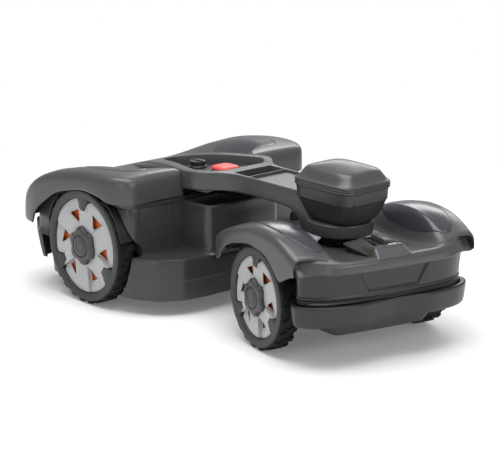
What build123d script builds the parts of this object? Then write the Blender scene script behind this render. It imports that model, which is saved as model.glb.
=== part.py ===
from build123d import *

"""Robotic lawn mower: a wide main module on two large driven wheels carries the battery, the
cutting unit and a long arm. The arm reaches back over a small rear module on two driven wheels,
which swivels and rolls under the arm's head. A satellite positioning module sits on the head.

Millimetres: +X forward, +Y left, +Z up, the ground at Z = 0, and the origin under the middle
of the overall box. The rear module rests turned by REST_STEER about the swivel axis."""

from math import cos, sin, radians
import os

os.makedirs("parts", exist_ok=True)

# ---------------------------------------------------------------- driving dimensions
MAIN_AXLE_X = 245.72          # axle of the main module's wheels
WHEELBASE = 508.0             # main axle to swivel axis, which stands over the rear axle
SWIVEL_X = MAIN_AXLE_X - WHEELBASE
REST_STEER = -12.5            # degrees, rear module's heading at rest

MAIN_TYRE_R, REAR_TYRE_R = 122.5, 102.8     # without the lugs
LUG = 4.0                                   # lug height
MAIN_LUGS, REAR_LUGS = 26, 22               # lugs in each of a tyre's two rows
MAIN_WHEEL_Y, REAR_WHEEL_Y = 264.0, 199.0   # outer sidewall planes
TYRE_W = 44.0
MAIN_AXLE_Z, REAR_AXLE_Z = MAIN_TYRE_R + LUG, REAR_TYRE_R + LUG
RIM_INSET = 21.0              # tyre radius to rim radius

DECK_Z = 125.0                # running board of the main module
DECK_WALL = 8.0               # from the deck to the bay floor above and chamber roof below
BAY_FLOOR_Z = DECK_Z + DECK_WALL
SKIRT_Z = 42.0                # lower edge of the blade skirt
CHAMBER_H = DECK_Z - DECK_WALL - SKIRT_Z + 1    # cut depth from 1 below the skirt
SEAM_Z = 234.0                # parting line of the main cover
BODY_TOP_Z = SEAM_Z - 1.0
COVER_Y = 274.0               # half width over the fenders
COVER_WALL = 3.2
POD_REAR = -139.0             # rear wall of the main pod, from the axle
MAIN_WELL_R, REAR_WELL_R = 132.0, 114.0     # wheel wells
TOWER_X, TOWER_Y, TOWER_TOP = -222.0, 96.0, 225.0   # rear wall, half width, top
ARM_BOTTOM, ARM_TOP = 255.0, 294.0
ARM_Y = 58.0                  # half width of the arm
STOP_X, POWER_X = -155.0, -66.0     # stop button and power knob, from the main axle
DISC_X = -45.0                # cutting disc axis, from the main axle

SHAFT_R, SHAFT_BORE_R = 8.15, 8.2   # wheel shaft and its bore in the hub motor
FLANGE_R, FLANGE_SEAT_R = 54.0, 54.2
FLANGE_DEPTH = TYRE_W + 16    # flange's inner face, from the outer sidewall plane
CABLE_HOLE_R = 18.0
PIN_R, PIN_HOLE_R = 4.0, 4.06       # bumper pins
MAIN_PIN_Y, MAIN_PIN_Z = 120, 100
REAR_PIN_Y, REAR_PIN_Z = 90, 95
LAMP_Y, LAMP_Z = 165, 164
BEARING_R, BEARING_SEAT_R = 24.0, 24.02
YOKE_R, BEARING_BORE_R = 15.0, 15.05
ROLL_Z, ROLL_R = 140, 10.0    # roll shaft: axis height and radius
ROD_R = 6.0                   # height guide rods
SCREW_R = 5.0                 # height screw, over its thread
SCREW_AT = (0, 70)            # height screw, from the disc axis
BLADE_PITCH_R = 86            # blade screws, from the disc axis

# half widths of cutting blocks that pass both sides of a module
MAIN_PAST_Y, REAR_PAST_Y = 300, 250

rest = radians(REST_STEER)
main = Plane(origin=(MAIN_AXLE_X, 0, 0), x_dir=(1, 0, 0), z_dir=(0, 0, 1))
rear = Plane(origin=(SWIVEL_X, 0, 0), x_dir=(cos(rest), sin(rest), 0), z_dir=(0, 0, 1))
head = Plane(origin=(SWIVEL_X, 0, 0), x_dir=(1, 0, 0), z_dir=(0, 0, 1))
deck = Plane(origin=(MAIN_AXLE_X + DISC_X, 0, 0), x_dir=(1, 0, 0), z_dir=(0, 0, 1))


# ---------------------------------------------------------------- helpers
def side(frame, y):
    """Side elevation of a frame: sketch x forward, sketch y up, normal to the right."""
    return Plane(origin=frame.from_local_coords((0, y, 0)), x_dir=frame.x_dir, z_dir=-frame.y_dir)


def cross(frame, x):
    """Cross-section of a frame: sketch x to the left, sketch y up, normal forward."""
    return Plane(origin=frame.from_local_coords((x, 0, 0)), x_dir=frame.y_dir, z_dir=frame.x_dir)


def hub(frame, y, z, hand):
    """Wheel plane at y on the left (hand 1) or right (-1): normal outward, sketch y up."""
    return Plane(
        origin=frame.from_local_coords((0, y * hand, z)),
        x_dir=frame.x_dir * -hand,
        z_dir=frame.y_dir * hand,
    )


def ring_plane(wheel):
    """Radial section of a wheel: sketch x radius, sketch y outward along the axle."""
    return Plane(origin=wheel.origin, x_dir=wheel.x_dir, z_dir=wheel.x_dir.cross(wheel.z_dir))


def spin_axis(wheel):
    return Axis(wheel.origin, wheel.z_dir)


def mirrored(half):
    """Closed outline from one half, repeated across y = 0; points on y = 0 stay single."""
    return tuple(half) + tuple((x, -y) for x, y in reversed(half) if y)


def on_hub(points, hand):
    """Turns (x forward, z) points into the sketch coordinates of a hub plane."""
    return tuple((-x * hand, z) for x, z in points)


def outside(plane, height, plan, inset=0.0):
    """Cutter for all that lies outside a plan outline, drawn in by inset."""
    with BuildPart() as cutter:
        with BuildSketch(plane):
            Rectangle(900, 700)
            with BuildSketch(mode=Mode.SUBTRACT):
                Polygon(*plan, align=None)
                if inset:
                    offset(amount=-inset, mode=Mode.REPLACE)
        extrude(amount=height)
    return cutter.part


def wells(frame, axle_z, radius, y_in, y_out):
    """Both wheel wells of a module as one cutter."""
    with BuildPart() as cutter:
        for hand in (1, -1):
            with BuildSketch(hub(frame, y_in, axle_z, hand)):
                Circle(radius)
                with Locations((0, -radius)):
                    Rectangle(2 * radius, 2 * radius)
            extrude(amount=y_out - y_in)
    return cutter.part


def save(builder, name):
    builder.part.label = name
    export_step(builder.part, f"parts/{name}.step")


# ================================================================ wheels
def make_claws(wheel, rim_r, grow, depth, height):
    """Three claws over the trim's edge, from depth behind the sidewall plane."""
    tip_r = rim_r - 17.0 - grow
    with BuildPart() as claws:
        with BuildSketch(wheel.offset(-depth)):
            for k in range(3):
                with Locations(Rotation(0, 0, 90 + 120 * k)):
                    Polygon(
                        (rim_r + 3, -21 - grow), (tip_r, -9 - grow),
                        (tip_r, 5 + grow), (rim_r + 3, 15 + grow), align=None,
                    )
        extrude(amount=height)
    return claws.part


def make_tyre(name, wheel, tyre_r, lugs):
    """Tyre with two staggered rows of lugs, trimmed round at the lug radius."""
    rim_r = tyre_r - RIM_INSET
    lug_r = tyre_r + LUG
    row_w = 19.0
    claws = make_claws(wheel, rim_r, grow=0.0, depth=6.0, height=5.4)
    with BuildPart() as tyre:
        with BuildSketch(ring_plane(wheel)):
            with BuildLine():
                Polyline(
                    (rim_r, -1.0), (rim_r + 4, 0), (tyre_r - 5, 0), (tyre_r, -5),
                    (tyre_r, -TYRE_W + 4), (tyre_r - 4, -TYRE_W), (rim_r + 4, -TYRE_W),
                    (rim_r, -TYRE_W + 4), close=True,
                )
            make_face()
        revolve(axis=spin_axis(wheel))
        for row_start, phase in ((-2.5 - row_w, 0.0), (-TYRE_W + 2.0, 0.5)):
            with BuildSketch(wheel.offset(row_start)):
                with PolarLocations(tyre_r + LUG / 2 - 1.0, lugs, start_angle=phase * 360 / lugs):
                    Rectangle(LUG + 2.0, 13.0)
            extrude(amount=row_w)
        with BuildSketch(wheel.offset(-TYRE_W - 2)):
            Circle(lug_r + 6)
            Circle(lug_r, mode=Mode.SUBTRACT)
        extrude(amount=TYRE_W + 4, mode=Mode.SUBTRACT)
        add(claws)
    save(tyre, name)


def make_rim(name, wheel, rim_r):
    """Carrier rim: barrel under the tyre, web behind the trim, shaft into the motor."""
    shaft_end = -TYRE_W - 3
    with BuildPart() as rim:
        with BuildSketch(ring_plane(wheel)):
            with BuildLine():
                Polyline(
                    (0, -16), (30, -16), (34, -19), (rim_r - 10, -19), (rim_r - 6, -13),
                    (rim_r, -13), (rim_r, -TYRE_W + 4), (rim_r - 6, -TYRE_W + 4),
                    (rim_r - 6, -25), (34, -25), (30, -30), (SHAFT_R, -30),
                    (SHAFT_R, shaft_end), (0, shaft_end), close=True,
                )
            make_face()
        revolve(axis=spin_axis(wheel))
    save(rim, name)


def make_trim(name, wheel, rim_r):
    """Trim disc, dished to the hub, with six windows and three notches for the claws."""
    window_in, window_out = 0.42 * rim_r, 0.66 * rim_r
    notches = make_claws(wheel, rim_r, grow=0.7, depth=14.0, height=15.4)
    with BuildPart() as trim:
        with BuildSketch(ring_plane(wheel)):
            with BuildLine():
                Polyline(
                    (20, -12), (43, -12), (rim_r - 14, -2.5), (rim_r - 1, -2.5), (rim_r - 1, -9),
                    (rim_r - 4, -9), (rim_r - 4, -5.5), (rim_r - 14, -5.5), (43, -15), (20, -15),
                    close=True,
                )
            make_face()
        revolve(axis=spin_axis(wheel))
        with BuildSketch(wheel.offset(-20)):
            for k in range(6):
                with Locations(Rotation(0, 0, 60 * k + 15)):
                    Polygon((window_in, -5), (window_out, -11), (window_out, 13), align=None)
        extrude(amount=22, mode=Mode.SUBTRACT)
        add(notches, mode=Mode.SUBTRACT)
    save(trim, name)


def make_knob(name, wheel):
    """Lobed hand knob that holds the wheel to the shaft."""
    lobe_pitch_r = 32
    with BuildPart() as knob:
        with BuildSketch(wheel.offset(-11.5)):
            Circle(lobe_pitch_r)
            with PolarLocations(lobe_pitch_r, 6, start_angle=30):
                Circle(8.5)
        extrude(amount=13, taper=8)
        with BuildSketch(wheel.offset(1.0)):
            Circle(25)
        extrude(amount=6, taper=14)
        fillet(knob.edges().filter_by(GeomType.CIRCLE).sort_by(spin_axis(wheel))[-1], 1.5)
        with BuildSketch(wheel.offset(-16)):
            Circle(18)
        extrude(amount=5)
    save(knob, name)


def make_hub_motor(wheel):
    """Fixed motor can inside the rim's barrel, with the flange that bolts to the chassis."""
    with BuildPart() as motor:
        with BuildSketch(wheel.offset(-TYRE_W - 12)):
            Circle(46)
        extrude(amount=24)
        with BuildSketch(wheel.offset(-FLANGE_DEPTH)):
            Circle(FLANGE_R)
        extrude(amount=6)
        with BuildSketch(wheel.offset(-TYRE_W - 4)):
            Circle(SHAFT_BORE_R)
        extrude(amount=TYRE_W - 18, mode=Mode.SUBTRACT)
    return motor.part


for module, frame, wheel_y, axle_z, tyre_r, lugs in (
    ("front", main, MAIN_WHEEL_Y, MAIN_AXLE_Z, MAIN_TYRE_R, MAIN_LUGS),
    ("rear", rear, REAR_WHEEL_Y, REAR_AXLE_Z, REAR_TYRE_R, REAR_LUGS),
):
    motors = []
    for hand_name, hand in (("left", 1), ("right", -1)):
        prefix = f"{module}_{hand_name}"
        wheel = hub(frame, wheel_y, axle_z, hand)
        make_tyre(f"{prefix}_tyre", wheel, tyre_r, lugs)
        make_rim(f"{prefix}_rim", wheel, tyre_r - RIM_INSET)
        make_trim(f"{prefix}_trim", wheel, tyre_r - RIM_INSET)
        make_knob(f"{prefix}_knob", wheel)
        motors.append(make_hub_motor(wheel))
    with BuildPart() as hub_motors:
        for motor in motors:
            add(motor)
    save(hub_motors, f"{module}_hub_motors")

# ================================================================ main module
main_wells = wells(main, MAIN_AXLE_Z, MAIN_WELL_R, 208.0, MAIN_WHEEL_Y + 4)

# Half plans (x, y), left side, and side outlines (x, z), from the main axle.
# The chamber pockets alone are measured from the disc axis.
pod_half = ((205, 200), (196, 240), (-130, 245), (POD_REAR, 236))
skirt_half = (
    (200, 180), (150, 235), (60, 246), (POD_REAR + 6, 246), (-190, 212), (-214, 168),
    (-221, 100), (-222, 0),
)
pocket_half = ((-163, 90), (-155, 158), (-133, 190), (195, 190), (213, 170))
wall_under_valley = (
    (240, 165), (205, 204), (169, 225.5), (100, 237), (60, 242), (60, 330), (240, 330),
)
wall_under_nose = (
    (260, 120), (230, 143), (216, 183), (189.5, 215), (146, 243), (146, 330), (260, 330),
)

# lower body: blade skirt, pod walls and tower in one moulding, open above
tower_mid_x = (POD_REAR + TOWER_X) / 2
tower_len = POD_REAR - TOWER_X
with BuildPart() as lower_body:
    with BuildSketch(main.offset(DECK_Z)):
        Polygon(*mirrored(pod_half), align=None)
    extrude(amount=BODY_TOP_Z - DECK_Z)
    with BuildSketch(main.offset(SKIRT_Z)):
        Polygon(*mirrored(skirt_half), align=None)
        fillet(vertices(), 14)
    extrude(amount=DECK_Z - SKIRT_Z + 1)
    with BuildSketch(main.offset(DECK_Z - 1)):
        with Locations((tower_mid_x + 10, 0)):
            RectangleRounded(tower_len + 20, 2 * TOWER_Y, 16)
    extrude(amount=TOWER_TOP - DECK_Z + 1)
    add(main_wells, mode=Mode.SUBTRACT)
    # equipment bay and tower hollow, open at the top
    with BuildSketch(main.offset(BAY_FLOOR_Z)):
        with Locations((30, 0)):
            RectangleRounded(326, 2 * 188, 16)
    extrude(amount=120, mode=Mode.SUBTRACT)
    with BuildSketch(main.offset(BAY_FLOOR_Z)):
        with Locations((tower_mid_x, 0)):
            RectangleRounded(tower_len - 8, 2 * TOWER_Y - 8, 12)
    extrude(amount=120, mode=Mode.SUBTRACT)
    # blade chamber, open below, and the hole for the cutting motor
    with BuildSketch(deck.offset(SKIRT_Z - 1)):
        Circle(140)
    extrude(amount=CHAMBER_H, mode=Mode.SUBTRACT)
    with BuildSketch(deck.offset(DECK_Z - 20)):
        Circle(42)
    extrude(amount=40, mode=Mode.SUBTRACT)
    # pockets between the blade chamber's wall and the skirt, open below
    with BuildSketch(deck.offset(SKIRT_Z - 1)):
        Polygon(*mirrored(pocket_half), align=None)
        Circle(144.5, mode=Mode.SUBTRACT)
    extrude(amount=CHAMBER_H, mode=Mode.SUBTRACT)
    # seats for the hub motors' flanges, with cable holes
    for hand in (1, -1):
        with BuildSketch(hub(main, MAIN_WHEEL_Y - FLANGE_DEPTH, MAIN_AXLE_Z, hand)):
            Circle(FLANGE_SEAT_R)
        extrude(amount=12, mode=Mode.SUBTRACT)
        with BuildSketch(hub(main, 180, MAIN_AXLE_Z, hand)):
            Circle(CABLE_HOLE_R)
        extrude(amount=30, mode=Mode.SUBTRACT)
    # the front wall stays below the valley and the nose of the cover
    for half_width, outline in ((124, wall_under_valley), (260, wall_under_nose)):
        with BuildSketch(side(main, half_width)):
            Polygon(*outline, align=None)
        extrude(amount=2 * half_width, mode=Mode.SUBTRACT)
    # pillar under the arm's spine
    with BuildSketch(main.offset(BAY_FLOOR_Z - 1)):
        with Locations((56, 0)):
            Rectangle(12, 90)
    extrude(amount=BODY_TOP_Z - BAY_FLOOR_Z + 1)
    # guide holes for the front bumper's pins
    for y in (MAIN_PIN_Y, -MAIN_PIN_Y):
        with BuildSketch(cross(main, 176)):
            with Locations((y, MAIN_PIN_Z)):
                Circle(PIN_HOLE_R)
        extrude(amount=40, mode=Mode.SUBTRACT)
save(lower_body, "lower_body")

# upper cover: two fenders over the wheels with a valley between them
valley_y = 119.8              # half width of the valley
cover_side = (
    (236, 143), (222, 186), (195, 221), (151, 249), (91, 271), (10, 286), (-76, 292),
    (POD_REAR, 287), (POD_REAR, SEAM_Z), (150, SEAM_Z), (150, 143),
)
cover_hollow_side = (
    (234, 137), (218.5, 184.5), (192, 218.5), (149, 246), (90.5, 267.8), (9.8, 282.8),
    (-76, 288.8), (POD_REAR + 3.5, 283.8), (POD_REAR + 3.5, 228), (146, 228), (146, 137),
)
valley_side = (
    (240, 175.5), (205, 211.5), (169, 233), (100, 244.5), (0, 256.5), (-142, 262.5),
    (-142, 330), (240, 330),
)
valley_under_side = (
    (240, 172), (205, 208), (169, 229.5), (100, 241), (0, 253), (-142, 259),
    (-142, 330), (240, 330),
)
cover_half = (
    (POD_REAR, 244), (-122, 258), (-90, 270), (-50, COVER_Y), (150, COVER_Y), (200, 264),
    (226, 247), (234, 215), (237, 100),
)
arch = (
    (150, 140), (150, 183), (115, 209), (82, 228), (35, 243), (-19, 250.5), (-60, 248),
    (-100, 229), (-126, 205), (-150, 160), (-150, 140),
)
cover_opening_half = ((90, 20), (60, 50), (0, 77), (-66, 99), (-150, 119))

cover_plan = mirrored(cover_half)
cover_trim = outside(main.offset(130), 200, cover_plan)
cover_hollow_trim = outside(main.offset(130), 200, cover_plan, inset=COVER_WALL)
with BuildPart() as cover_hollow:
    with BuildSketch(side(main, MAIN_PAST_Y)):
        Polygon(*cover_hollow_side, align=None)
    extrude(amount=2 * MAIN_PAST_Y)
    add(cover_hollow_trim, mode=Mode.SUBTRACT)
    # the hollow stops below the valley's floor
    with BuildSketch(side(main, valley_y + COVER_WALL)):
        Polygon(*valley_under_side, align=None)
    extrude(amount=2 * (valley_y + COVER_WALL), mode=Mode.SUBTRACT)

with BuildPart() as main_cover:
    with BuildSketch(side(main, MAIN_PAST_Y)):
        Polygon(*cover_side, align=None)
    extrude(amount=2 * MAIN_PAST_Y)
    add(cover_trim, mode=Mode.SUBTRACT)
    add(cover_hollow.part, mode=Mode.SUBTRACT)
    with BuildSketch(side(main, valley_y)):
        Polygon(*valley_side, align=None)
    extrude(amount=2 * valley_y, mode=Mode.SUBTRACT)
    # wheel arches: the lip stays outside the tyre, the well behind it is cut round
    add(main_wells, mode=Mode.SUBTRACT)
    for hand in (1, -1):
        with BuildSketch(hub(main, 180, 0, hand)):
            Polygon(*on_hub(arch, hand), align=None)
        extrude(amount=120, mode=Mode.SUBTRACT)
    # opening for the console and the root of the arm
    with BuildSketch(main.offset(SEAM_Z - 3)):
        Polygon(*mirrored(cover_opening_half), align=None)
    extrude(amount=100, mode=Mode.SUBTRACT)
    # lamp windows
    with BuildSketch(cross(main, 218)):
        with Locations((LAMP_Y, LAMP_Z), (-LAMP_Y, LAMP_Z)):
            Rectangle(44, 16)
    extrude(amount=30, mode=Mode.SUBTRACT)
save(main_cover, "main_cover")

# lamps in the cover's nose
lamp_w, lamp_half_h = 43.6, 7.8
lamp_bottom, lamp_top = LAMP_Z - lamp_half_h, LAMP_Z + lamp_half_h
with BuildPart() as nose_lamps:
    for y in (LAMP_Y, -LAMP_Y):
        with BuildSketch(side(main, y + lamp_w / 2)):
            Polygon(
                (218, lamp_bottom), (231.0, lamp_bottom), (226.5, lamp_top), (218, lamp_top),
                align=None,
            )
        extrude(amount=lamp_w)
save(nose_lamps, "nose_lamps")

contact_w = 32
with BuildPart() as charging_contacts:
    for y in (34, -34):
        with BuildSketch(side(main, y + contact_w / 2)):
            Polygon((235.1, 146), (229.9, 162), (231.2, 162.4), (236.4, 146.4), align=None)
        extrude(amount=contact_w)
save(charging_contacts, "charging_contacts")

# inserts let into the top of the fenders
insert_w = 76
insert_side = (
    (-70, 291.7), (10, 286.1), (91, 271.1), (148, 250.4), (147, 252.4),
    (91, 273.3), (10, 288.3), (-70, 293.7),
)
with BuildPart() as fender_inserts:
    for y in (198, -198):
        with BuildSketch(side(main, y + insert_w / 2)):
            Polygon(*insert_side, align=None)
        extrude(amount=insert_w)
save(fender_inserts, "fender_inserts")

# liners over the main wheels
with BuildPart() as wheel_liners:
    for hand in (1, -1):
        with BuildSketch(hub(main, 209, MAIN_AXLE_Z, hand)):
            Circle(131.4)
            Circle(128.8, mode=Mode.SUBTRACT)
            with Locations((0, -100)):
                Rectangle(300, 260, mode=Mode.SUBTRACT)
        extrude(amount=50)
save(wheel_liners, "wheel_liners")

# front bumper: sprung rail on two pins that give way into the body
rail_half_w = 238
rail_side = (
    (212, 52), (222, 50), (234, 112), (235.5, 140), (231.5, 140), (230.5, 113),
    (219, 55), (212, 56),
)
rail_half = ((100, 240), (205, 240), (224, 226), (237, 190))
rail_trim = outside(main.offset(40), 120, mirrored(rail_half))
with BuildPart() as front_bumper:
    with BuildSketch(side(main, rail_half_w)):
        Polygon(*rail_side, align=None)
    extrude(amount=2 * rail_half_w)
    add(rail_trim, mode=Mode.SUBTRACT)
    with BuildSketch(cross(main, 212)):
        with Locations((MAIN_PIN_Y, MAIN_PIN_Z), (-MAIN_PIN_Y, MAIN_PIN_Z)):
            Rectangle(16, 34)
    extrude(amount=17.4)
    with BuildSketch(cross(main, 190)):
        with Locations((MAIN_PIN_Y, MAIN_PIN_Z), (-MAIN_PIN_Y, MAIN_PIN_Z)):
            Circle(PIN_R)
    extrude(amount=24)
save(front_bumper, "front_bumper")

# ================================================================ arm, head and console
# metal spine: bolted to the body, runs back inside the arm to the bearing block in the head
spine_half_w = 26
spine_side = (
    (62, 233), (62, 241), (-200, 241), (-236, 270), (-500, 270), (-500, 260),
    (-240, 260), (-206, 233),
)
with BuildPart() as arm_spine:
    with BuildSketch(side(main, spine_half_w)):
        Polygon(*spine_side, align=None)
    extrude(amount=2 * spine_half_w)
    with BuildSketch(head.offset(216)):
        Circle(33)
    extrude(amount=54)
    with BuildSketch(head.offset(215)):
        Circle(BEARING_SEAT_R)
    extrude(amount=47, mode=Mode.SUBTRACT)
    # openings under the power knob and the stop button
    with BuildSketch(main.offset(230)):
        with Locations((POWER_X, 0)):
            Circle(9)
        with Locations((STOP_X, 0)):
            Circle(12)
    extrude(amount=20, mode=Mode.SUBTRACT)
save(arm_spine, "arm_spine")

with BuildPart() as swivel_bearings:
    for z in (218, 250):
        with BuildSketch(head.offset(z)):
            Circle(BEARING_R)
            Circle(BEARING_BORE_R, mode=Mode.SUBTRACT)
        extrude(amount=10)
save(swivel_bearings, "swivel_bearings")

# Half plans (x, y), left side, and side outlines (x, z), from the main axle.
console_half = (
    (80, 12), (54, 30), (0, 55), (-66, 80), (-120, 98), (-165, 109), (-186, 105), (-212, 84),
    (-240, ARM_Y), (-300, ARM_Y),
)
console_hollow_half = (
    (62, 16), (54, 25), (0, 50), (-66, 75), (-120, 93), (-163, 104), (-183, 100), (-206, 80),
    (-232, 54),
)
recess_half = ((30, 16), (0, 34), (-66, 58), (-120, 76), (-165, 86), (-190, 78), (-215, 52))
console_side = (
    (82, 243), (54, 253), (0, 268), (-66, 280), (-155, 290), (-200, ARM_TOP), (-300, ARM_TOP),
    (-300, ARM_BOTTOM), (-150, 254), (-140, 243),
)
beam_side = (
    (-298, ARM_TOP), (-436, 292), (-436, 238), (-424, 246), (-404, 253), (-298, ARM_BOTTOM),
)
leg_side = (
    (-404, 253.2), (-424, 246), (-440, 230), (-446, 213), (-500, 213), (-500, 236),
    (-436.2, 236), (-436.2, 258), (-404, 258),
)
beam_hollow_side = ((-190, 283), (-440, 283), (-440, 259), (-190, 259))
recess_plan = mirrored(recess_half)
console_trim = outside(main.offset(240), 60, mirrored(console_half))

with BuildPart() as arm_shell:
    # console frame
    with BuildSketch(side(main, 115)):
        Polygon(*console_side, align=None)
    extrude(amount=230)
    add(console_trim, mode=Mode.SUBTRACT)
    # arm beam and the leg that comes down to the head
    for half_width, outline in ((ARM_Y, beam_side), (50, leg_side)):
        with BuildSketch(side(main, half_width)):
            Polygon(*outline, align=None)
        extrude(amount=2 * half_width)
    with BuildSketch(head.offset(212)):
        Circle(62)
    extrude(amount=24)
    # hollows: beam, console, head
    with BuildSketch(side(main, ARM_Y - 4)):
        Polygon(*beam_hollow_side, align=None)
    extrude(amount=2 * (ARM_Y - 4), mode=Mode.SUBTRACT)
    with BuildSketch(main.offset(240)):
        Polygon(*mirrored(console_hollow_half), align=None)
    extrude(amount=10, mode=Mode.SUBTRACT)
    with BuildSketch(main.offset(240)):
        Polygon(*recess_plan, align=None)
        with Locations((-225, 0)):
            Rectangle(60, 90)
    extrude(amount=43, mode=Mode.SUBTRACT)
    with BuildSketch(head.offset(210)):
        Circle(34)
    extrude(amount=90, mode=Mode.SUBTRACT)
    with BuildSketch(head.offset(216)):
        Circle(57)
    extrude(amount=16.5, mode=Mode.SUBTRACT)
    # console recess, handle pocket, seat of the arm plate
    with BuildSketch(main.offset(245)):
        Polygon(*recess_plan, align=None)
    extrude(amount=60, mode=Mode.SUBTRACT)
    with BuildSketch(main.offset(270)):
        with Locations((-265, 0)):
            RectangleRounded(46, 98, 6)
    extrude(amount=40, mode=Mode.SUBTRACT)
    with BuildSketch(main.offset(286)):
        with Locations((-365, 0)):
            Rectangle(144, 100)
    extrude(amount=20, mode=Mode.SUBTRACT)
save(arm_shell, "arm_shell")

with BuildPart() as arm_plate:
    with BuildSketch(main.offset(286)):
        with Locations((-364.5, 0)):
            RectangleRounded(142, 99, 5)
    extrude(amount=3)
save(arm_plate, "arm_plate")

# console floor, with the stop button's and the power knob's guides
floor_side = (
    (30, 247), (-66, 261), (-120, 268), (-214, 273.5), (-214, 277), (-120, 271.5),
    (-66, 264.5), (30, 250.5),
)
floor_trim = outside(main.offset(240), 60, recess_plan, inset=0.4)
with BuildPart() as console_plate:
    with BuildSketch(side(main, 90)):
        Polygon(*floor_side, align=None)
    extrude(amount=180)
    add(floor_trim, mode=Mode.SUBTRACT)
    with BuildSketch(main.offset(258)):
        with Locations((STOP_X, 0)):
            Circle(14)
        with Locations((POWER_X, 0)):
            Circle(10)
    extrude(amount=14)
    with BuildSketch(main.offset(240)):
        with Locations((STOP_X, 0)):
            Circle(8.06)
        with Locations((POWER_X, 0)):
            Circle(5.06)
    extrude(amount=60, mode=Mode.SUBTRACT)
save(console_plate, "console_plate")

with BuildPart() as display_lens:
    with BuildSketch(side(main, 22)):
        Polygon((-2, 255.4), (-40, 261.0), (-40, 262.6), (-2, 257.0), align=None)
    extrude(amount=44)
save(display_lens, "display_lens")

# stop button: straight edge, chamfered top, stem
with BuildPart() as stop_button:
    with BuildSketch(main.offset(280.2)):
        with Locations((STOP_X, 0)):
            RectangleRounded(54, 58, 20)
    extrude(amount=5.8)
    with BuildSketch(main.offset(286)):
        with Locations((STOP_X, 0)):
            RectangleRounded(54, 58, 20)
    extrude(amount=4, taper=45)
    with BuildSketch(main.offset(252)):
        with Locations((STOP_X, 0)):
            Circle(8.0)
    extrude(amount=30)
save(stop_button, "stop_button")

# power knob: disc, grip bar, stem
with BuildPart() as power_knob:
    with BuildSketch(main.offset(272.5)):
        with Locations((POWER_X, 0)):
            Circle(17)
    extrude(amount=9)
    with BuildSketch(main.offset(281.5)):
        with Locations((POWER_X, 0)):
            Rectangle(28, 5)
    extrude(amount=2)
    with BuildSketch(main.offset(254)):
        with Locations((POWER_X, 0)):
            Circle(5.0)
    extrude(amount=19)
save(power_knob, "power_knob")

# positioning module: flared housing, board, hat
housing_h, housing_flare = 71, -13
with BuildPart() as antenna_housing:
    with BuildSketch(head.offset(237)):
        RectangleRounded(122, 100, 34)
    extrude(amount=housing_h, taper=housing_flare)
    with BuildSketch(head.offset(240.5)):
        RectangleRounded(116, 94, 31)
    extrude(amount=housing_h, taper=housing_flare, mode=Mode.SUBTRACT)
    with BuildSketch(head.offset(236)):
        Circle(34)
    extrude(amount=10, mode=Mode.SUBTRACT)
    # window for the spine and clearance over the arm's end
    with BuildSketch(cross(head, 40)):
        with Locations((0, 265)):
            Rectangle(92, 12.4)
    extrude(amount=60, mode=Mode.SUBTRACT)
    with BuildSketch(main.offset(236)):
        with Locations((-399, 0)):
            Rectangle(75.2, 2 * ARM_Y + 2)
    extrude(amount=ARM_TOP + 0.4 - 236, mode=Mode.SUBTRACT)
save(antenna_housing, "antenna_housing")

board_z = 270
with BuildPart() as antenna_board:
    with BuildSketch(head.offset(board_z)):
        Circle(34)
    extrude(amount=2)
    with BuildSketch(head.offset(board_z + 2)):
        Rectangle(34, 34)
    extrude(amount=6)
    with BuildSketch(head.offset(board_z + 2)):
        with Locations((0, 24), (0, -24)):
            Rectangle(18, 7)
    extrude(amount=3)
save(antenna_board, "antenna_board")

hat_x, hat_y = 164, 134       # plan size of the brim
hat_draw_in = 48.3            # brim to crown, over both sides
with BuildPart() as antenna_hat:
    with BuildSketch(head.offset(309)):
        RectangleRounded(hat_x, hat_y, 34)
    extrude(amount=12)
    with BuildSketch(head.offset(321)):
        RectangleRounded(hat_x, hat_y, 34)
    extrude(amount=25, taper=44)
    with BuildSketch(head.offset(346)):
        RectangleRounded(hat_x - hat_draw_in, hat_y - hat_draw_in, 10)
    extrude(amount=12, taper=62)
    with BuildSketch(head.offset(308)):
        RectangleRounded(hat_x - 7, hat_y - 7, 31)
    extrude(amount=12.5, mode=Mode.SUBTRACT)
    with BuildSketch(head.offset(320)):
        RectangleRounded(hat_x - 10, hat_y - 10, 30)
    extrude(amount=22, taper=44, mode=Mode.SUBTRACT)
save(antenna_hat, "antenna_hat")

with BuildPart() as arm_cable:
    with BuildSketch(cross(main, -470)):
        with Locations((40, 266)):
            Circle(3.5)
    extrude(amount=232)
save(arm_cable, "arm_cable")

# ================================================================ battery and electronics
pack_h = 58
pack_places = ((128, 88), (128, -88))
with BuildPart() as battery:
    with BuildSketch(main.offset(BAY_FLOOR_Z)):
        with Locations(*pack_places):
            RectangleRounded(112, 150, 8)
    extrude(amount=pack_h)
    with BuildSketch(main.offset(BAY_FLOOR_Z + pack_h)):
        with Locations(*pack_places):
            Rectangle(60, 90)
    extrude(amount=6)
save(battery, "battery")

board_t = 6                   # both modules' boards
with BuildPart() as main_board:
    with BuildSketch(main.offset(BAY_FLOOR_Z)):
        with Locations((-45, 150)):
            Rectangle(150, 60)
    extrude(amount=board_t)
    with BuildSketch(main.offset(BAY_FLOOR_Z + board_t)):
        with Locations((-90, 150), (-45, 160)):
            Rectangle(30, 26)
        with Locations((0, 145)):
            Rectangle(24, 40)
    extrude(amount=8)
save(main_board, "main_board")

# ================================================================ cutting unit
TOP_RING_Z = 222              # underside of the height frame's ring
CARRIAGE_Z, CARRIAGE_T = 156, 6
rods = tuple((70 * cos(radians(a)), 70 * sin(radians(a))) for a in (210, 330))

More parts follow.
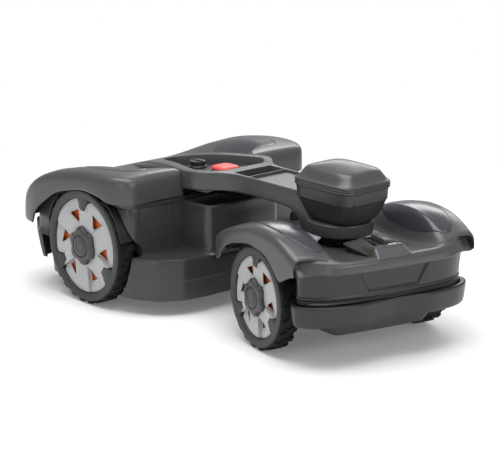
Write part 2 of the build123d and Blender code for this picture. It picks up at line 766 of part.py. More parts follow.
with BuildPart() as height_frame:
    with BuildSketch(deck.offset(TOP_RING_Z)):
        Circle(82)
        Circle(44, mode=Mode.SUBTRACT)
    extrude(amount=6)
    with BuildSketch(deck.offset(BAY_FLOOR_Z)):
        with Locations(*rods):
            Circle(ROD_R)
    extrude(amount=TOP_RING_Z - BAY_FLOOR_Z)
    with BuildSketch(deck.offset(TOP_RING_Z - 2)):
        with Locations(SCREW_AT):
            Circle(4.06)
    extrude(amount=10, mode=Mode.SUBTRACT)
save(height_frame, "height_frame")

# height motor: collar, body round the screw's end, closed lid
with BuildPart() as height_motor:
    with BuildSketch(deck.offset(228)):
        with Locations(SCREW_AT):
            Circle(9)
            Circle(4.2, mode=Mode.SUBTRACT)
    extrude(amount=3)
    with BuildSketch(deck.offset(231)):
        with Locations(SCREW_AT):
            RectangleRounded(30, 22, 4)
            Circle(4.2, mode=Mode.SUBTRACT)
    extrude(amount=8)
    with BuildSketch(deck.offset(239)):
        with Locations(SCREW_AT):
            RectangleRounded(30, 22, 4)
    extrude(amount=2.5)
save(height_motor, "height_motor")

groove_pitch = 5
with BuildPart() as height_screw:
    with BuildSketch(deck.offset(BAY_FLOOR_Z + 0.2)):
        with Locations(SCREW_AT):
            Circle(SCREW_R)
    extrude(amount=TOP_RING_Z - BAY_FLOOR_Z - 0.4)
    for k in range(1, 17):
        with BuildSketch(deck.offset(BAY_FLOOR_Z + groove_pitch * k)):
            with Locations(SCREW_AT):
                Circle(5.6)
                Circle(4.5, mode=Mode.SUBTRACT)
        extrude(amount=1.6, mode=Mode.SUBTRACT)
    with BuildSketch(deck.offset(TOP_RING_Z - 1)):
        with Locations(SCREW_AT):
            Circle(4.0)
    extrude(amount=17)
save(height_screw, "height_screw")

# carriage that carries the blade motor up and down its guide rods
with BuildPart() as cutting_carriage:
    with BuildSketch(deck.offset(CARRIAGE_Z)):
        Circle(84)
        Circle(12, mode=Mode.SUBTRACT)
    extrude(amount=CARRIAGE_T)
    with BuildSketch(deck.offset(CARRIAGE_Z + CARRIAGE_T)):
        with Locations(*rods, SCREW_AT):
            Circle(11)
    extrude(amount=18)
    with BuildSketch(deck.offset(CARRIAGE_Z - 6)):
        with Locations(*rods):
            Circle(ROD_R + 0.05)
        with Locations(SCREW_AT):
            Circle(SCREW_R + 0.06)
    extrude(amount=40, mode=Mode.SUBTRACT)
save(cutting_carriage, "cutting_carriage")

# blade motor: can below the carriage, cap above it, neck between them, shaft bore
with BuildPart() as blade_motor:
    with BuildSketch(deck.offset(98)):
        Circle(34)
    extrude(amount=CARRIAGE_Z - 98)
    with BuildSketch(deck.offset(CARRIAGE_Z + CARRIAGE_T)):
        Circle(26)
    extrude(amount=7)
    with BuildSketch(deck.offset(CARRIAGE_Z - 1)):
        Circle(11.9)
    extrude(amount=CARRIAGE_T + 2)
    with BuildSketch(deck.offset(97)):
        Circle(6.0)
    extrude(amount=30, mode=Mode.SUBTRACT)
save(blade_motor, "blade_motor")

disc_z, disc_t = 70, 3        # underside and thickness
with BuildPart() as cutting_disc:
    with BuildSketch(deck.offset(disc_z)):
        Circle(95.0)
        with PolarLocations(60, 3, start_angle=60):
            SlotOverall(40, 16, rotation=90, mode=Mode.SUBTRACT)
    extrude(amount=disc_t)
    # boss and raised edge ring
    with BuildSketch(deck.offset(disc_z + disc_t)):
        Circle(24)
    extrude(amount=8, taper=10)
    with BuildSketch(deck.offset(disc_z + disc_t)):
        Circle(94)
        Circle(91.5, mode=Mode.SUBTRACT)
    extrude(amount=5)
    # shaft and the flared foot below it
    with BuildSketch(deck.offset(60)):
        Circle(5.95)
    extrude(amount=60)
    with BuildSketch(deck.offset(55)):
        Circle(14)
    extrude(amount=5, taper=-20)
    # blade screws
    with BuildSketch(deck.offset(66.9)):
        with PolarLocations(BLADE_PITCH_R, 3):
            Circle(2.95)
    extrude(amount=3.2)
    with BuildSketch(deck.offset(65)):
        with PolarLocations(BLADE_PITCH_R, 3):
            Circle(5)
    extrude(amount=2)
save(cutting_disc, "cutting_disc")

# blades: outline along the disc's radius, right half (x, y)
blade_half = ((78, -8), (81, -9.5), (110, -9.5), (114, -6))
for k in range(3):
    with BuildPart() as blade:
        with BuildSketch(deck.offset(67.4)):
            with Locations(Rotation(0, 0, 120 * k)):
                Polygon(*mirrored(blade_half), align=None)
                with Locations((BLADE_PITCH_R, 0)):
                    Circle(3.0, mode=Mode.SUBTRACT)
        extrude(amount=1)
    save(blade, f"blade_{k + 1}")

with BuildPart() as skid_plate:
    with BuildSketch(deck.offset(60.4)):
        Circle(76)
        Circle(6.0, mode=Mode.SUBTRACT)
        with PolarLocations(48, 6):
            Circle(9, mode=Mode.SUBTRACT)
    extrude(amount=2.4)
save(skid_plate, "skid_plate")

# ================================================================ rear module
rear_wells = wells(rear, REAR_AXLE_Z, REAR_WELL_R, 144.0, REAR_WHEEL_Y + 4)

# swivel yoke: upright shaft, block round the roll shaft, flange under the collar
collar_z = 189
with BuildPart() as swivel_yoke:
    with BuildSketch(rear.offset(158)):
        Circle(YOKE_R)
    extrude(amount=103)
    with BuildSketch(rear.offset(120)):
        RectangleRounded(88, 40, 6)
    extrude(amount=42)
    with BuildSketch(rear.offset(collar_z - 5)):
        Circle(38)
    extrude(amount=5)
    with BuildSketch(cross(rear, -60)):
        with Locations((0, ROLL_Z)):
            Circle(ROLL_R + 0.06)
    extrude(amount=120, mode=Mode.SUBTRACT)
save(swivel_yoke, "swivel_yoke")

# ribbed collar over the swivel
with BuildPart() as collar:
    with BuildSketch(rear.offset(collar_z)):
        Circle(36)
        Circle(17, mode=Mode.SUBTRACT)
    extrude(amount=22)
    for k in range(4):
        with BuildSketch(rear.offset(collar_z + 2.5 + 5 * k)):
            Circle(40)
            Circle(30, mode=Mode.SUBTRACT)
        extrude(amount=2.6)
save(collar, "collar")

with BuildPart() as roll_shaft:
    with BuildSketch(cross(rear, -62)):
        with Locations((0, ROLL_Z)):
            Circle(ROLL_R)
    extrude(amount=124)
save(roll_shaft, "roll_shaft")

# Half plans (x, y), left side, from the swivel axis.
chassis_half = ((-168, 0), (-168, 118), (-150, 142.5), (140, 142.5), (170, 126), (180, 80))
panel_half = ((-140, 150), (-150, 150), (-166, 140), (-180, 84), (-178, 0))
rear_floor_z = 58
with BuildPart() as rear_chassis:
    with BuildSketch(rear.offset(52)):
        Polygon(*mirrored(chassis_half), align=None)
        fillet([v for v in vertices() if abs(v.Y) > 100], 12)
    extrude(amount=106)
    # rear panel between the bumper and the cover
    with BuildSketch(rear.offset(131)):
        Polygon(*mirrored(panel_half), align=None)
    extrude(amount=53)
    # equipment bay
    with BuildSketch(rear.offset(rear_floor_z)):
        with Locations((8, 0)):
            RectangleRounded(314, 240, 12)
    extrude(amount=140, mode=Mode.SUBTRACT)
    # pillow blocks for the roll shaft
    with BuildSketch(rear.offset(rear_floor_z - 1)):
        with Locations((53, 0), (-53, 0)):
            Rectangle(15, 46)
    extrude(amount=98)
    with BuildSketch(cross(rear, -70)):
        with Locations((0, ROLL_Z)):
            Circle(ROLL_R + 0.02)
    extrude(amount=140, mode=Mode.SUBTRACT)
    # seats for the hub motors' flanges, with cable holes
    for hand in (1, -1):
        with BuildSketch(hub(rear, REAR_WHEEL_Y - FLANGE_DEPTH, REAR_AXLE_Z, hand)):
            Circle(FLANGE_SEAT_R)
        extrude(amount=12, mode=Mode.SUBTRACT)
        with BuildSketch(hub(rear, 110, REAR_AXLE_Z, hand)):
            Circle(CABLE_HOLE_R)
        extrude(amount=40, mode=Mode.SUBTRACT)
    # guide holes for the rear bumper's pins
    with BuildSketch(cross(rear, -170)):
        with Locations((REAR_PIN_Y, REAR_PIN_Z), (-REAR_PIN_Y, REAR_PIN_Z)):
            Circle(PIN_HOLE_R)
    extrude(amount=19, mode=Mode.SUBTRACT)
    # raised trapezoid panel
    with BuildSketch(cross(rear, -182)):
        Polygon((-76, 181), (76, 181), (55, 144), (-55, 144), align=None)
    extrude(amount=6)
save(rear_chassis, "rear_chassis")

# rear cover: half plan (x, y), left side, and side outlines (x, z), from the swivel axis
rear_valley_y = 115.8         # half width of the valley
rear_half = (
    (-208, 50), (-203, 100), (-185, 147), (-158, 186), (-130, 205), (-60, 209), (100, 209),
    (150, 197), (184, 167), (197, 130), (201, 60),
)
rear_side = (
    (199, 148), (190, 172), (161, 196), (127, 214), (87, 230), (54, 241), (7, 252),
    (-40, 255), (-90, 250), (-125, 238), (-160, 222), (-205, 214), (-209, 206),
    (-178, 185.5), (-150, 185.5), (-150, 159.5), (182, 159.5), (182, 148),
)
rear_hollow_side = (
    (195, 152), (186.5, 171), (158.5, 193), (125.5, 210.8), (86, 226.8), (53, 237.8),
    (6.5, 248.8), (-40, 251.8), (-89.5, 246.8), (-124, 234.9), (-158, 219), (-201, 211),
    (-205, 206), (-176, 189), (-150, 189), (-150, 154), (170, 154), (170, 152),
)
rear_valley_side = (
    (205, 163), (160, 186), (100, 192), (0, 192), (-90, 196), (-150, 206), (-214, 213),
    (-214, 300), (205, 300),
)
rear_valley_under_side = (
    (205, 160), (160, 182.8), (100, 188.8), (0, 188.8), (-90, 192.8), (-150, 202.8),
    (-214, 209.8), (-214, 300), (205, 300),
)
rear_arch = (
    (135, 145), (122, 173), (107, 187), (82, 198), (53, 206), (5, 214), (-46, 210),
    (-81, 195), (-101, 172), (-116, 145),
)
rear_plan = mirrored(rear_half)
rear_trim = outside(rear.offset(140), 140, rear_plan)
rear_hollow_trim = outside(rear.offset(140), 140, rear_plan, inset=COVER_WALL)
with BuildPart() as rear_hollow:
    with BuildSketch(side(rear, REAR_PAST_Y)):
        Polygon(*rear_hollow_side, align=None)
    extrude(amount=2 * REAR_PAST_Y)
    add(rear_hollow_trim, mode=Mode.SUBTRACT)
    with BuildSketch(side(rear, rear_valley_y + COVER_WALL)):
        Polygon(*rear_valley_under_side, align=None)
    extrude(amount=2 * (rear_valley_y + COVER_WALL), mode=Mode.SUBTRACT)

with BuildPart() as rear_cover:
    with BuildSketch(side(rear, REAR_PAST_Y)):
        Polygon(*rear_side, align=None)
    extrude(amount=2 * REAR_PAST_Y)
    add(rear_trim, mode=Mode.SUBTRACT)
    add(rear_hollow.part, mode=Mode.SUBTRACT)
    with BuildSketch(side(rear, rear_valley_y)):
        Polygon(*rear_valley_side, align=None)
    extrude(amount=2 * rear_valley_y, mode=Mode.SUBTRACT)
    # wheel arches
    add(rear_wells, mode=Mode.SUBTRACT)
    for hand in (1, -1):
        with BuildSketch(hub(rear, 150, 0, hand)):
            Polygon(*on_hub(rear_arch, hand), align=None)
        extrude(amount=80, mode=Mode.SUBTRACT)
    # opening round the collar
    with BuildSketch(rear.offset(170)):
        Circle(48)
    extrude(amount=50, mode=Mode.SUBTRACT)
save(rear_cover, "rear_cover")

# inserts on top of the rear fenders
rear_insert_w = 46
rear_insert_side = (
    (60, 239.1), (54, 241.1), (7, 252.1), (-40, 255.1), (-90, 250.1), (-125, 238.1),
    (-156, 224.0), (-155, 226.1), (-125, 240.1), (-90, 252.0), (-40, 257.0), (7, 254.0),
    (54, 243.0), (60, 241.0),
)
with BuildPart() as rear_inserts:
    for y in (149, -149):
        with BuildSketch(side(rear, y + rear_insert_w / 2)):
            Polygon(*rear_insert_side, align=None)
        extrude(amount=rear_insert_w)
save(rear_inserts, "rear_inserts")

# block in the rear cover's valley, behind the collar, with a slot in its top
block_side = (
    (-176, 209.0), (-172, 224), (-165, 227), (-110, 224), (-62, 200), (-62, 195.1),
    (-90, 196.1), (-150, 206.1),
)
with BuildPart() as centre_block:
    with BuildSketch(side(rear, 40)):
        Polygon(*block_side, align=None)
    extrude(amount=80)
    with BuildSketch(rear.offset(218)):
        with Locations((-135, 0)):
            RectangleRounded(50, 10, 3)
    extrude(amount=20, mode=Mode.SUBTRACT)
save(centre_block, "centre_block")

# rear bumper: sprung rail on two pins; half plans (x, y) of its outer and inner faces
bumper_out = ((-120, 184), (-147, 196), (-184, 158), (-199, 88), (-192, 0))
bumper_in = ((-120, 172), (-143, 180), (-172, 150), (-186, 84), (-180, 0))
with BuildPart() as rear_bumper:
    with BuildSketch(rear.offset(76)):
        Polygon(*mirrored(bumper_out), *reversed(mirrored(bumper_in)), align=None)
    extrude(amount=52)
    with BuildSketch(cross(rear, -182)):
        with Locations((REAR_PIN_Y, REAR_PIN_Z), (-REAR_PIN_Y, REAR_PIN_Z)):
            Circle(PIN_R)
    extrude(amount=22)
    with BuildSketch(cross(rear, -188)):
        with Locations((REAR_PIN_Y, REAR_PIN_Z), (-REAR_PIN_Y, REAR_PIN_Z)):
            Rectangle(14, 20)
    extrude(amount=12)
save(rear_bumper, "rear_bumper")

with BuildPart() as rear_board:
    with BuildSketch(rear.offset(rear_floor_z)):
        with Locations((-110, 0), (112, 0)):
            Rectangle(60, 150)
    extrude(amount=board_t)
    with BuildSketch(rear.offset(rear_floor_z + board_t)):
        with Locations((-110, 40), (-110, -30), (112, 0)):
            Rectangle(34, 44)
    extrude(amount=12)
save(rear_board, "rear_board")
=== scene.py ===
"""Looks of the robotic lawn mower: smooth covers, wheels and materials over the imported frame.

The scene is in metres: +X forward, +Y left, +Z up, floor at z = 0. The main module carries
the front wheels; the rear module swivels behind it and stands turned by REAR_TURN.
Pieces are drawn in millimetres in the frames MAIN, HEAD and REAR.
"""
import math
from math import cos, degrees, pi, radians, sin
from typing import NamedTuple

import bmesh
import bpy
import numpy as np
from mathutils import Matrix, Vector


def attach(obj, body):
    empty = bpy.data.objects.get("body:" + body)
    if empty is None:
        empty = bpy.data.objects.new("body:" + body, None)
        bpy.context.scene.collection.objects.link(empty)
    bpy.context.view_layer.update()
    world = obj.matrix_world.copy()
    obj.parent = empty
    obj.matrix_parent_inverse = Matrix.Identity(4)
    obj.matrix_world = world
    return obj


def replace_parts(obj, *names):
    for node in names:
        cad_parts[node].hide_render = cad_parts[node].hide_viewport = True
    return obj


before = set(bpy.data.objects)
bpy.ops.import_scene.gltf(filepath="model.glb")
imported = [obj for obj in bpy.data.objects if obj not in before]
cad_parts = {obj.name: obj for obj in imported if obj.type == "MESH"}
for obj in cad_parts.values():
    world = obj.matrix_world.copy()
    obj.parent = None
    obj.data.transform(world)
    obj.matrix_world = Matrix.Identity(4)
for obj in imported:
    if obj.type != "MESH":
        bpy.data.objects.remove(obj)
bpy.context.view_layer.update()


# ------------------------------------------------------------------ frames and shared places

AXLE_X = 245.72                     # main axle, from the scene origin
SWIVEL_X = AXLE_X - 508.0           # swivel axis
REAR_TURN = radians(-12.5)
MM = Matrix.Scale(0.001, 4)
MAIN = Matrix.Translation((AXLE_X / 1000, 0, 0)) @ MM
HEAD = Matrix.Translation((SWIVEL_X / 1000, 0, 0)) @ MM
REAR = Matrix.Translation((SWIVEL_X / 1000, 0, 0)) @ Matrix.Rotation(REAR_TURN, 4, "Z") @ MM

FRONT_AXLE_Z = 126.5
REAR_AXLE_Z = 106.8
BLADE_X = -45                       # blade axis, in MAIN
BUTTON_X = -155                     # stop button, in MAIN
KNOB_X = -66                        # power knob, in MAIN
SIDES = ((1, "left"), (-1, "right"))

# ------------------------------------------------------------------ materials


def shader(name, color, rough, metallic=0.0, coat=0.0, specular=0.5, vary=0.06,
           grain=0.0, grain_scale=900.0, bevel=0.0):
    """Mottled Principled material with optional fine grain and edges rounded by `bevel` m.

    `vary` is the share by which broad noise darkens and lightens the colour.
    """
    material = bpy.data.materials.new(name)
    material.use_nodes = True
    nodes, links = material.node_tree.nodes, material.node_tree.links
    principled = nodes["Principled BSDF"]
    coords = nodes.new("ShaderNodeTexCoord")
    mottle = nodes.new("ShaderNodeTexNoise")
    mottle.inputs["Scale"].default_value = 9.0
    mottle.inputs["Detail"].default_value = 4.0
    links.new(coords.outputs["Object"], mottle.inputs["Vector"])

    ramp = nodes.new("ShaderNodeValToRGB")
    dark_end, light_end = ramp.color_ramp.elements
    dark_end.position = 0.35
    light_end.position = 0.68
    dark_end.color = (*(max(0, c * (1 - vary)) for c in color), 1)
    light_end.color = (*(min(1, c * (1 + vary)) for c in color), 1)
    links.new(mottle.outputs["Fac"], ramp.inputs["Fac"])
    links.new(ramp.outputs["Color"], principled.inputs["Base Color"])

    rough_range = nodes.new("ShaderNodeMapRange")
    rough_range.inputs["To Min"].default_value = max(0.02, rough - 0.05)
    rough_range.inputs["To Max"].default_value = min(1.0, rough + 0.05)
    links.new(mottle.outputs["Fac"], rough_range.inputs["Value"])
    links.new(rough_range.outputs["Result"], principled.inputs["Roughness"])
    principled.inputs["Metallic"].default_value = metallic
    principled.inputs["Coat Weight"].default_value = coat
    principled.inputs["Coat Roughness"].default_value = 0.05
    principled.inputs["Specular IOR Level"].default_value = specular

    normal_source = None
    if grain > 0:
        fine = nodes.new("ShaderNodeTexNoise")
        fine.inputs["Scale"].default_value = grain_scale
        fine.inputs["Detail"].default_value = 3.0
        links.new(coords.outputs["Object"], fine.inputs["Vector"])
        normal_source = nodes.new("ShaderNodeBump")
        normal_source.inputs["Strength"].default_value = grain
        normal_source.inputs["Distance"].default_value = 0.0006
        links.new(fine.outputs["Fac"], normal_source.inputs["Height"])
    if bevel > 0:
        rounding = nodes.new("ShaderNodeBevel")
        rounding.samples = 4
        rounding.inputs["Radius"].default_value = bevel
        if normal_source:
            links.new(rounding.outputs["Normal"], normal_source.inputs["Normal"])
        else:
            normal_source = rounding
    if normal_source:
        links.new(normal_source.outputs["Normal"], principled.inputs["Normal"])
    return material


MAT = {
    "cover": shader("cover_plastic", (0.058, 0.059, 0.061), rough=0.30, vary=0.03,
                    grain=0.10, grain_scale=1100),
    "cover_b": shader("cover_plastic_bevel", (0.060, 0.061, 0.063), rough=0.32, vary=0.03,
                      grain=0.10, grain_scale=1100, bevel=0.0016),
    "dark": shader("chassis_plastic", (0.036, 0.036, 0.038), rough=0.30, vary=0.04,
                   grain=0.12, grain_scale=1000),
    "dark_b": shader("chassis_plastic_bevel", (0.040, 0.040, 0.042), rough=0.42, vary=0.04,
                     grain=0.12, grain_scale=1000, bevel=0.0018),
    # Painted shade: the same chassis plastic again, darkened for the rear panel and rear bumper
    # to stand for the shade they lack under these lights.
    "under": shader("chassis_plastic_painted_shade", (0.014, 0.014, 0.015), rough=0.34, vary=0.04,
                    grain=0.12, grain_scale=1000),
    "module": shader("module_plastic", (0.054, 0.055, 0.057), rough=0.32, vary=0.03,
                     grain=0.08, grain_scale=1100),
    "bowl": shader("module_lower_plastic", (0.036, 0.037, 0.039), rough=0.36, vary=0.03,
                   grain=0.08, grain_scale=1100),
    "gloss": shader("smoked_insert", (0.036, 0.037, 0.047), rough=0.26, coat=0.12, vary=0.15),
    "smoke": shader("smoked_window", (0.060, 0.048, 0.038), rough=0.18, coat=0.2,
                    specular=0.45, vary=0.12),
    "black": shader("black_plastic", (0.009, 0.009, 0.010), rough=0.48, grain=0.1,
                    bevel=0.001),
    "rubber": shader("tread_rubber", (0.008, 0.008, 0.009), rough=0.70, specular=0.25,
                     vary=0.10, grain=0.4, grain_scale=420),
    "sidewall": shader("sidewall_rubber", (0.030, 0.031, 0.033), rough=0.50, grain=0.25,
                       grain_scale=600),
    "trim": shader("trim_silver", (0.40, 0.405, 0.41), rough=0.33, specular=0.6, vary=0.02,
                   grain=0.05, bevel=0.0008),
    "orange": shader("rim_orange", (0.86, 0.17, 0.035), rough=0.45, vary=0.08),
    "knob": shader("hub_knob", (0.042, 0.043, 0.045), rough=0.38, vary=0.04, grain=0.08),
    "red": shader("stop_red", (0.66, 0.065, 0.06), rough=0.38, vary=0.03, grain=0.03,
                  bevel=0.001),
    "white": shader("mark_white", (0.75, 0.75, 0.75), rough=0.5, vary=0.02),
    "steel": shader("brushed_steel", (0.50, 0.51, 0.53), rough=0.30, metallic=1.0,
                    grain=0.15, grain_scale=300, bevel=0.0006),
    "alloy": shader("cast_alloy", (0.40, 0.41, 0.43), rough=0.48, metallic=0.9,
                    grain=0.35, grain_scale=350, bevel=0.0008),
    "brass": shader("contact_brass", (0.70, 0.50, 0.22), rough=0.28, metallic=1.0,
                    grain=0.1, bevel=0.0005),
    "battery": shader("battery_case", (0.05, 0.075, 0.12), rough=0.5, grain=0.1,
                      bevel=0.0012),
    "board": shader("circuit_board", (0.02, 0.13, 0.055), rough=0.4, vary=0.3,
                    grain=0.2, grain_scale=240, bevel=0.0005),
    "dark_metal": shader("black_coated_alloy", (0.012, 0.012, 0.013), rough=0.45,
                         metallic=0.2, grain=0.2, bevel=0.0008),
    "lamp": shader("lamp_lens", (0.55, 0.57, 0.60), rough=0.12, coat=0.8, vary=0.05,
                   bevel=0.0008),
}

COVER = (MAT["cover"], "cover_plastic")
DARK = (MAT["dark"], "dark_plastic")
# painted shade: darkened copy of the chassis plastic, used on the rear panel and rear bumper
SHADED_DARK = (MAT["under"], "dark_plastic")
PIN = (MAT["steel"], "dark_plastic")
GLOSS = (MAT["gloss"], "gloss_insert")
SMOKE = (MAT["smoke"], "gloss_insert")
BLACK = (MAT["black"], "black_plastic")
COLLAR = (MAT["black"], "rubber")
BOWL = (MAT["bowl"], "module_plastic")
MODULE = (MAT["module"], "module_plastic")
RED = (MAT["red"], "stop_red")
TRIM = (MAT["trim"], "light_trim")
RIM = (MAT["orange"], "orange_rim")
SIDEWALL = (MAT["sidewall"], "tyre")
TREAD = (MAT["rubber"], "tyre")
KNOB = (MAT["knob"], "knob_plastic")

# Mount: (frame, body the piece rides on)
ON_MAIN = (MAIN, "main_module")
ON_REAR = (REAR, "rear_module")
ON_YOKE = (REAR, "yoke")

# ------------------------------------------------------------------ mesh helpers


def shade(mesh, angle):
    """Smooth shading, sharp where faces meet at more than `angle` degrees."""
    for polygon in mesh.polygons:
        polygon.use_smooth = True
    mesh.set_sharp_from_angle(angle=radians(angle))


def mesh_object(name, verts, faces, finish, mount, smooth=35.0):
    """Cleaned mesh from points in millimetres of the mount's frame."""
    material, slot = finish
    frame, body = mount
    mesh = bpy.data.meshes.new(name)
    mesh.from_pydata([tuple(map(float, v)) for v in verts], [], faces)
    mesh.update()
    bm = bmesh.new()
    bm.from_mesh(mesh)
    bmesh.ops.remove_doubles(bm, verts=bm.verts, dist=0.01)
    bmesh.ops.dissolve_degenerate(bm, edges=bm.edges, dist=0.005)
    bmesh.ops.recalc_face_normals(bm, faces=bm.faces)
    bmesh.ops.transform(bm, matrix=frame, verts=bm.verts)
    bm.to_mesh(mesh)
    bm.free()
    mesh.materials.append(material)
    shade(mesh, smooth)
    obj = bpy.data.objects.new(name, mesh)
    bpy.context.scene.collection.objects.link(obj)
    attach(obj, body)
    return obj


def grid_faces(rows, cols, closed_cols=False, closed_rows=False):
    faces = []
    for r in range(rows if closed_rows else rows - 1):
        for c in range(cols if closed_cols else cols - 1):
            r2, c2 = (r + 1) % rows, (c + 1) % cols
            faces.append((r * cols + c, r * cols + c2, r2 * cols + c2, r2 * cols + c))
    return faces


def turned_faces(turns, count, closed):
    """Faces between `turns` profiles of `count` points set around an axis."""
    faces = []
    for i in range(turns):
        j = (i + 1) % turns
        for k in range(count if closed else count - 1):
            k2 = (k + 1) % count
            faces.append((i * count + k, j * count + k, j * count + k2, i * count + k2))
    return faces


def loft(name, loops, finish, mount, cap=(True, True), smooth=35.0):
    """Skin over closed loops of equal length, capped at the first and last if asked."""
    n = len(loops[0])
    faces = grid_faces(len(loops), n, closed_cols=True)
    if cap[0]:
        faces.append(tuple(range(n)))
    if cap[1]:
        faces.append(tuple((len(loops) - 1) * n + i for i in range(n)))
    return mesh_object(name, [p for loop in loops for p in loop], faces, finish, mount, smooth)


def lathe(name, profile, finish, mount, n=96, smooth=35.0, closed=True):
    """Profile of (radius, height) turned about Z in n steps."""
    verts = []
    for i in range(n):
        t = 2 * pi * i / n
        verts += [(r * cos(t), r * sin(t), z) for r, z in profile]
    faces = turned_faces(n, len(profile), closed)
    return mesh_object(name, verts, faces, finish, mount, smooth)


def tube(name, path, radius, finish, mount, n=8):
    """Round cord along a path of points."""
    path = [np.array(p, float) for p in path]
    loops = []
    for i, p in enumerate(path):
        before, after = path[max(i - 1, 0)], path[min(i + 1, len(path) - 1)]
        along = (after - before) / max(np.linalg.norm(after - before), 1e-9)
        u = np.cross(along, (0.31, 0.17, 0.93))
        u /= np.linalg.norm(u)
        v = np.cross(along, u)
        angles = [2 * pi * k / n for k in range(n)]
        loops.append([p + radius * (u * cos(a) + v * sin(a)) for a in angles])
    return loft(name, loops, finish, mount, smooth=60)


# ------------------------------------------------------------------ curves and outlines


def spline(points, n):
    """Centripetal Catmull-Rom through the points, n samples per span, ends kept."""
    p = np.array(points, float)
    p = np.vstack([2 * p[0] - p[1], p, 2 * p[-1] - p[-2]])

    def gap(a, b):
        return max(np.linalg.norm(b - a), 1e-6) ** 0.5

    def mix(a, b, ta, tb, t):
        return (tb - t) / (tb - ta) * a + (t - ta) / (tb - ta) * b

    out = []
    for i in range(1, len(p) - 2):
        p0, p1, p2, p3 = p[i - 1], p[i], p[i + 1], p[i + 2]
        t0 = 0.0
        t1 = gap(p0, p1)
        t2 = t1 + gap(p1, p2)
        t3 = t2 + gap(p2, p3)
        for k in range(n):
            t = t1 + (t2 - t1) * k / n
            a1 = mix(p0, p1, t0, t1, t)
            a2 = mix(p1, p2, t1, t2, t)
            a3 = mix(p2, p3, t2, t3, t)
            b1 = mix(a1, a2, t0, t2, t)
            b2 = mix(a2, a3, t1, t3, t)
            out.append(mix(b1, b2, t1, t2, t))
    out.append(p[-2])
    return np.array(out)


def monotone(xs, ys, x):
    """Monotone cubic interpolation (xs ascending), flat beyond the ends."""
    xs, ys = np.array(xs, float), np.array(ys, float)
    h = np.diff(xs)
    slope = np.diff(ys) / h
    m = np.zeros(len(xs))
    m[0], m[-1] = slope[0], slope[-1]
    for i in range(1, len(xs) - 1):
        if slope[i - 1] * slope[i] > 0:
            w1, w2 = 2 * h[i] + h[i - 1], h[i] + 2 * h[i - 1]
            m[i] = (w1 + w2) / (w1 / slope[i - 1] + w2 / slope[i])
    x = np.clip(np.asarray(x, float), xs[0], xs[-1])
    i = np.clip(np.searchsorted(xs, x) - 1, 0, len(h) - 1)
    t = (x - xs[i]) / h[i]
    return ((2 * t**3 - 3 * t**2 + 1) * ys[i] + (t**3 - 2 * t**2 + t) * h[i] * m[i]
            + (-2 * t**3 + 3 * t**2) * ys[i + 1] + (t**3 - t**2) * h[i] * m[i + 1])


def smooth01(t):
    t = np.clip(t, 0, 1)
    return t * t * t * (t * (6 * t - 15) + 10)


def mirrored(half, closed=False):
    """Points of one side, then their mirror in y; the last lies on the middle line.

    For a closed loop the first lies there too.
    """
    other = half[1:-1] if closed else half[:-1]
    return list(half) + [(p[0], -p[1], *p[2:]) for p in reversed(other)]


def round_poly(points, radius, steps):
    """Closed plan outline with filleted corners; one radius for all, or one per point."""
    points = [np.array(p, float) for p in points]
    radii = [radius] * len(points) if np.isscalar(radius) else radius
    out = []
    for i, p in enumerate(points):
        u, v = points[i - 1] - p, points[(i + 1) % len(points)] - p
        len_u, len_v = np.linalg.norm(u), np.linalg.norm(v)
        u, v = u / len_u, v / len_v
        angle = math.acos(max(-1, min(1, float(np.dot(u, v)))))
        reach = min(radii[i] / max(math.tan(angle / 2), 1e-3), len_u * 0.48, len_v * 0.48)
        start, end = p + u * reach, p + v * reach
        for k in range(steps + 1):
            t = k / steps
            out.append((1 - t) ** 2 * start + 2 * t * (1 - t) * p + t * t * end)
    return out


def symmetric_outline(half, steps):
    """Rounded outline from its left half, (x, y, corner radius), both ends at y = 0."""
    radii = [r for _, _, r in half]
    points = mirrored([(x, y) for x, y, _ in half], closed=True)
    return round_poly(points, radii + radii[-2:0:-1], steps)


def inset(loop, d):
    """Outline moved inward by d (outward when negative)."""
    loop = np.array(loop, float)
    along = np.roll(loop, -1, 0) - np.roll(loop, 1, 0)
    normal = np.stack([-along[:, 1], along[:, 0]], 1)
    normal = normal / np.maximum(np.linalg.norm(along, axis=1)[:, None], 1e-6)
    area = 0.5 * np.sum(loop[:, 0] * np.roll(loop[:, 1], -1)
                        - np.roll(loop[:, 0], -1) * loop[:, 1])
    return loop + normal * d * (1 if area > 0 else -1)


def blend(a, b, k):
    return np.array(a) * (1 - k) + np.array(b) * k


def at(loop, z):
    return [(p[0], p[1], z) for p in loop]


def across(loop, y):
    """Side-view loop of (x, z) stood at y."""
    return [(x, y, z) for x, z in loop]


def stack(outline, levels):
    """Loops of an outline from levels of (inset, z)."""
    return [at(inset(outline, d), z) for d, z in levels]


def inward_normals(line, centre_x):
    """Unit plan normals of an open line, pointing towards (centre_x, 0)."""
    along = np.gradient(line, axis=0)
    normals = np.stack([along[:, 1], -along[:, 0]], 1)
    normals = normals / np.linalg.norm(along, axis=1)[:, None]
    if np.sum((np.array([centre_x, 0.0]) - line) * normals) < 0:
        normals = -normals
    return normals


def superellipse(half_x, half_y, z, power, n=128):
    out = []
    for i in range(n):
        t = 2 * pi * i / n
        c, s = cos(t), sin(t)
        out.append((half_x * math.copysign(abs(c) ** (2 / power), c),
                    half_y * math.copysign(abs(s) ** (2 / power), s), z))
    return out


# ------------------------------------------------------------------ cutting

BOX_FACES = [(0, 1, 3, 2), (4, 6, 7, 5), (0, 4, 5, 1), (2, 3, 7, 6), (0, 2, 6, 4), (1, 5, 7, 3)]


def prism(frame, low, high):
    """Cutter between two loops of equal length, as (verts, faces) in metres."""
    n = len(low)
    faces = [tuple(range(n)), tuple(range(2 * n - 1, n - 1, -1))]
    faces += [(i, (i + 1) % n, n + (i + 1) % n, n + i) for i in range(n)]
    return [frame @ Vector(p) for p in low + high], faces


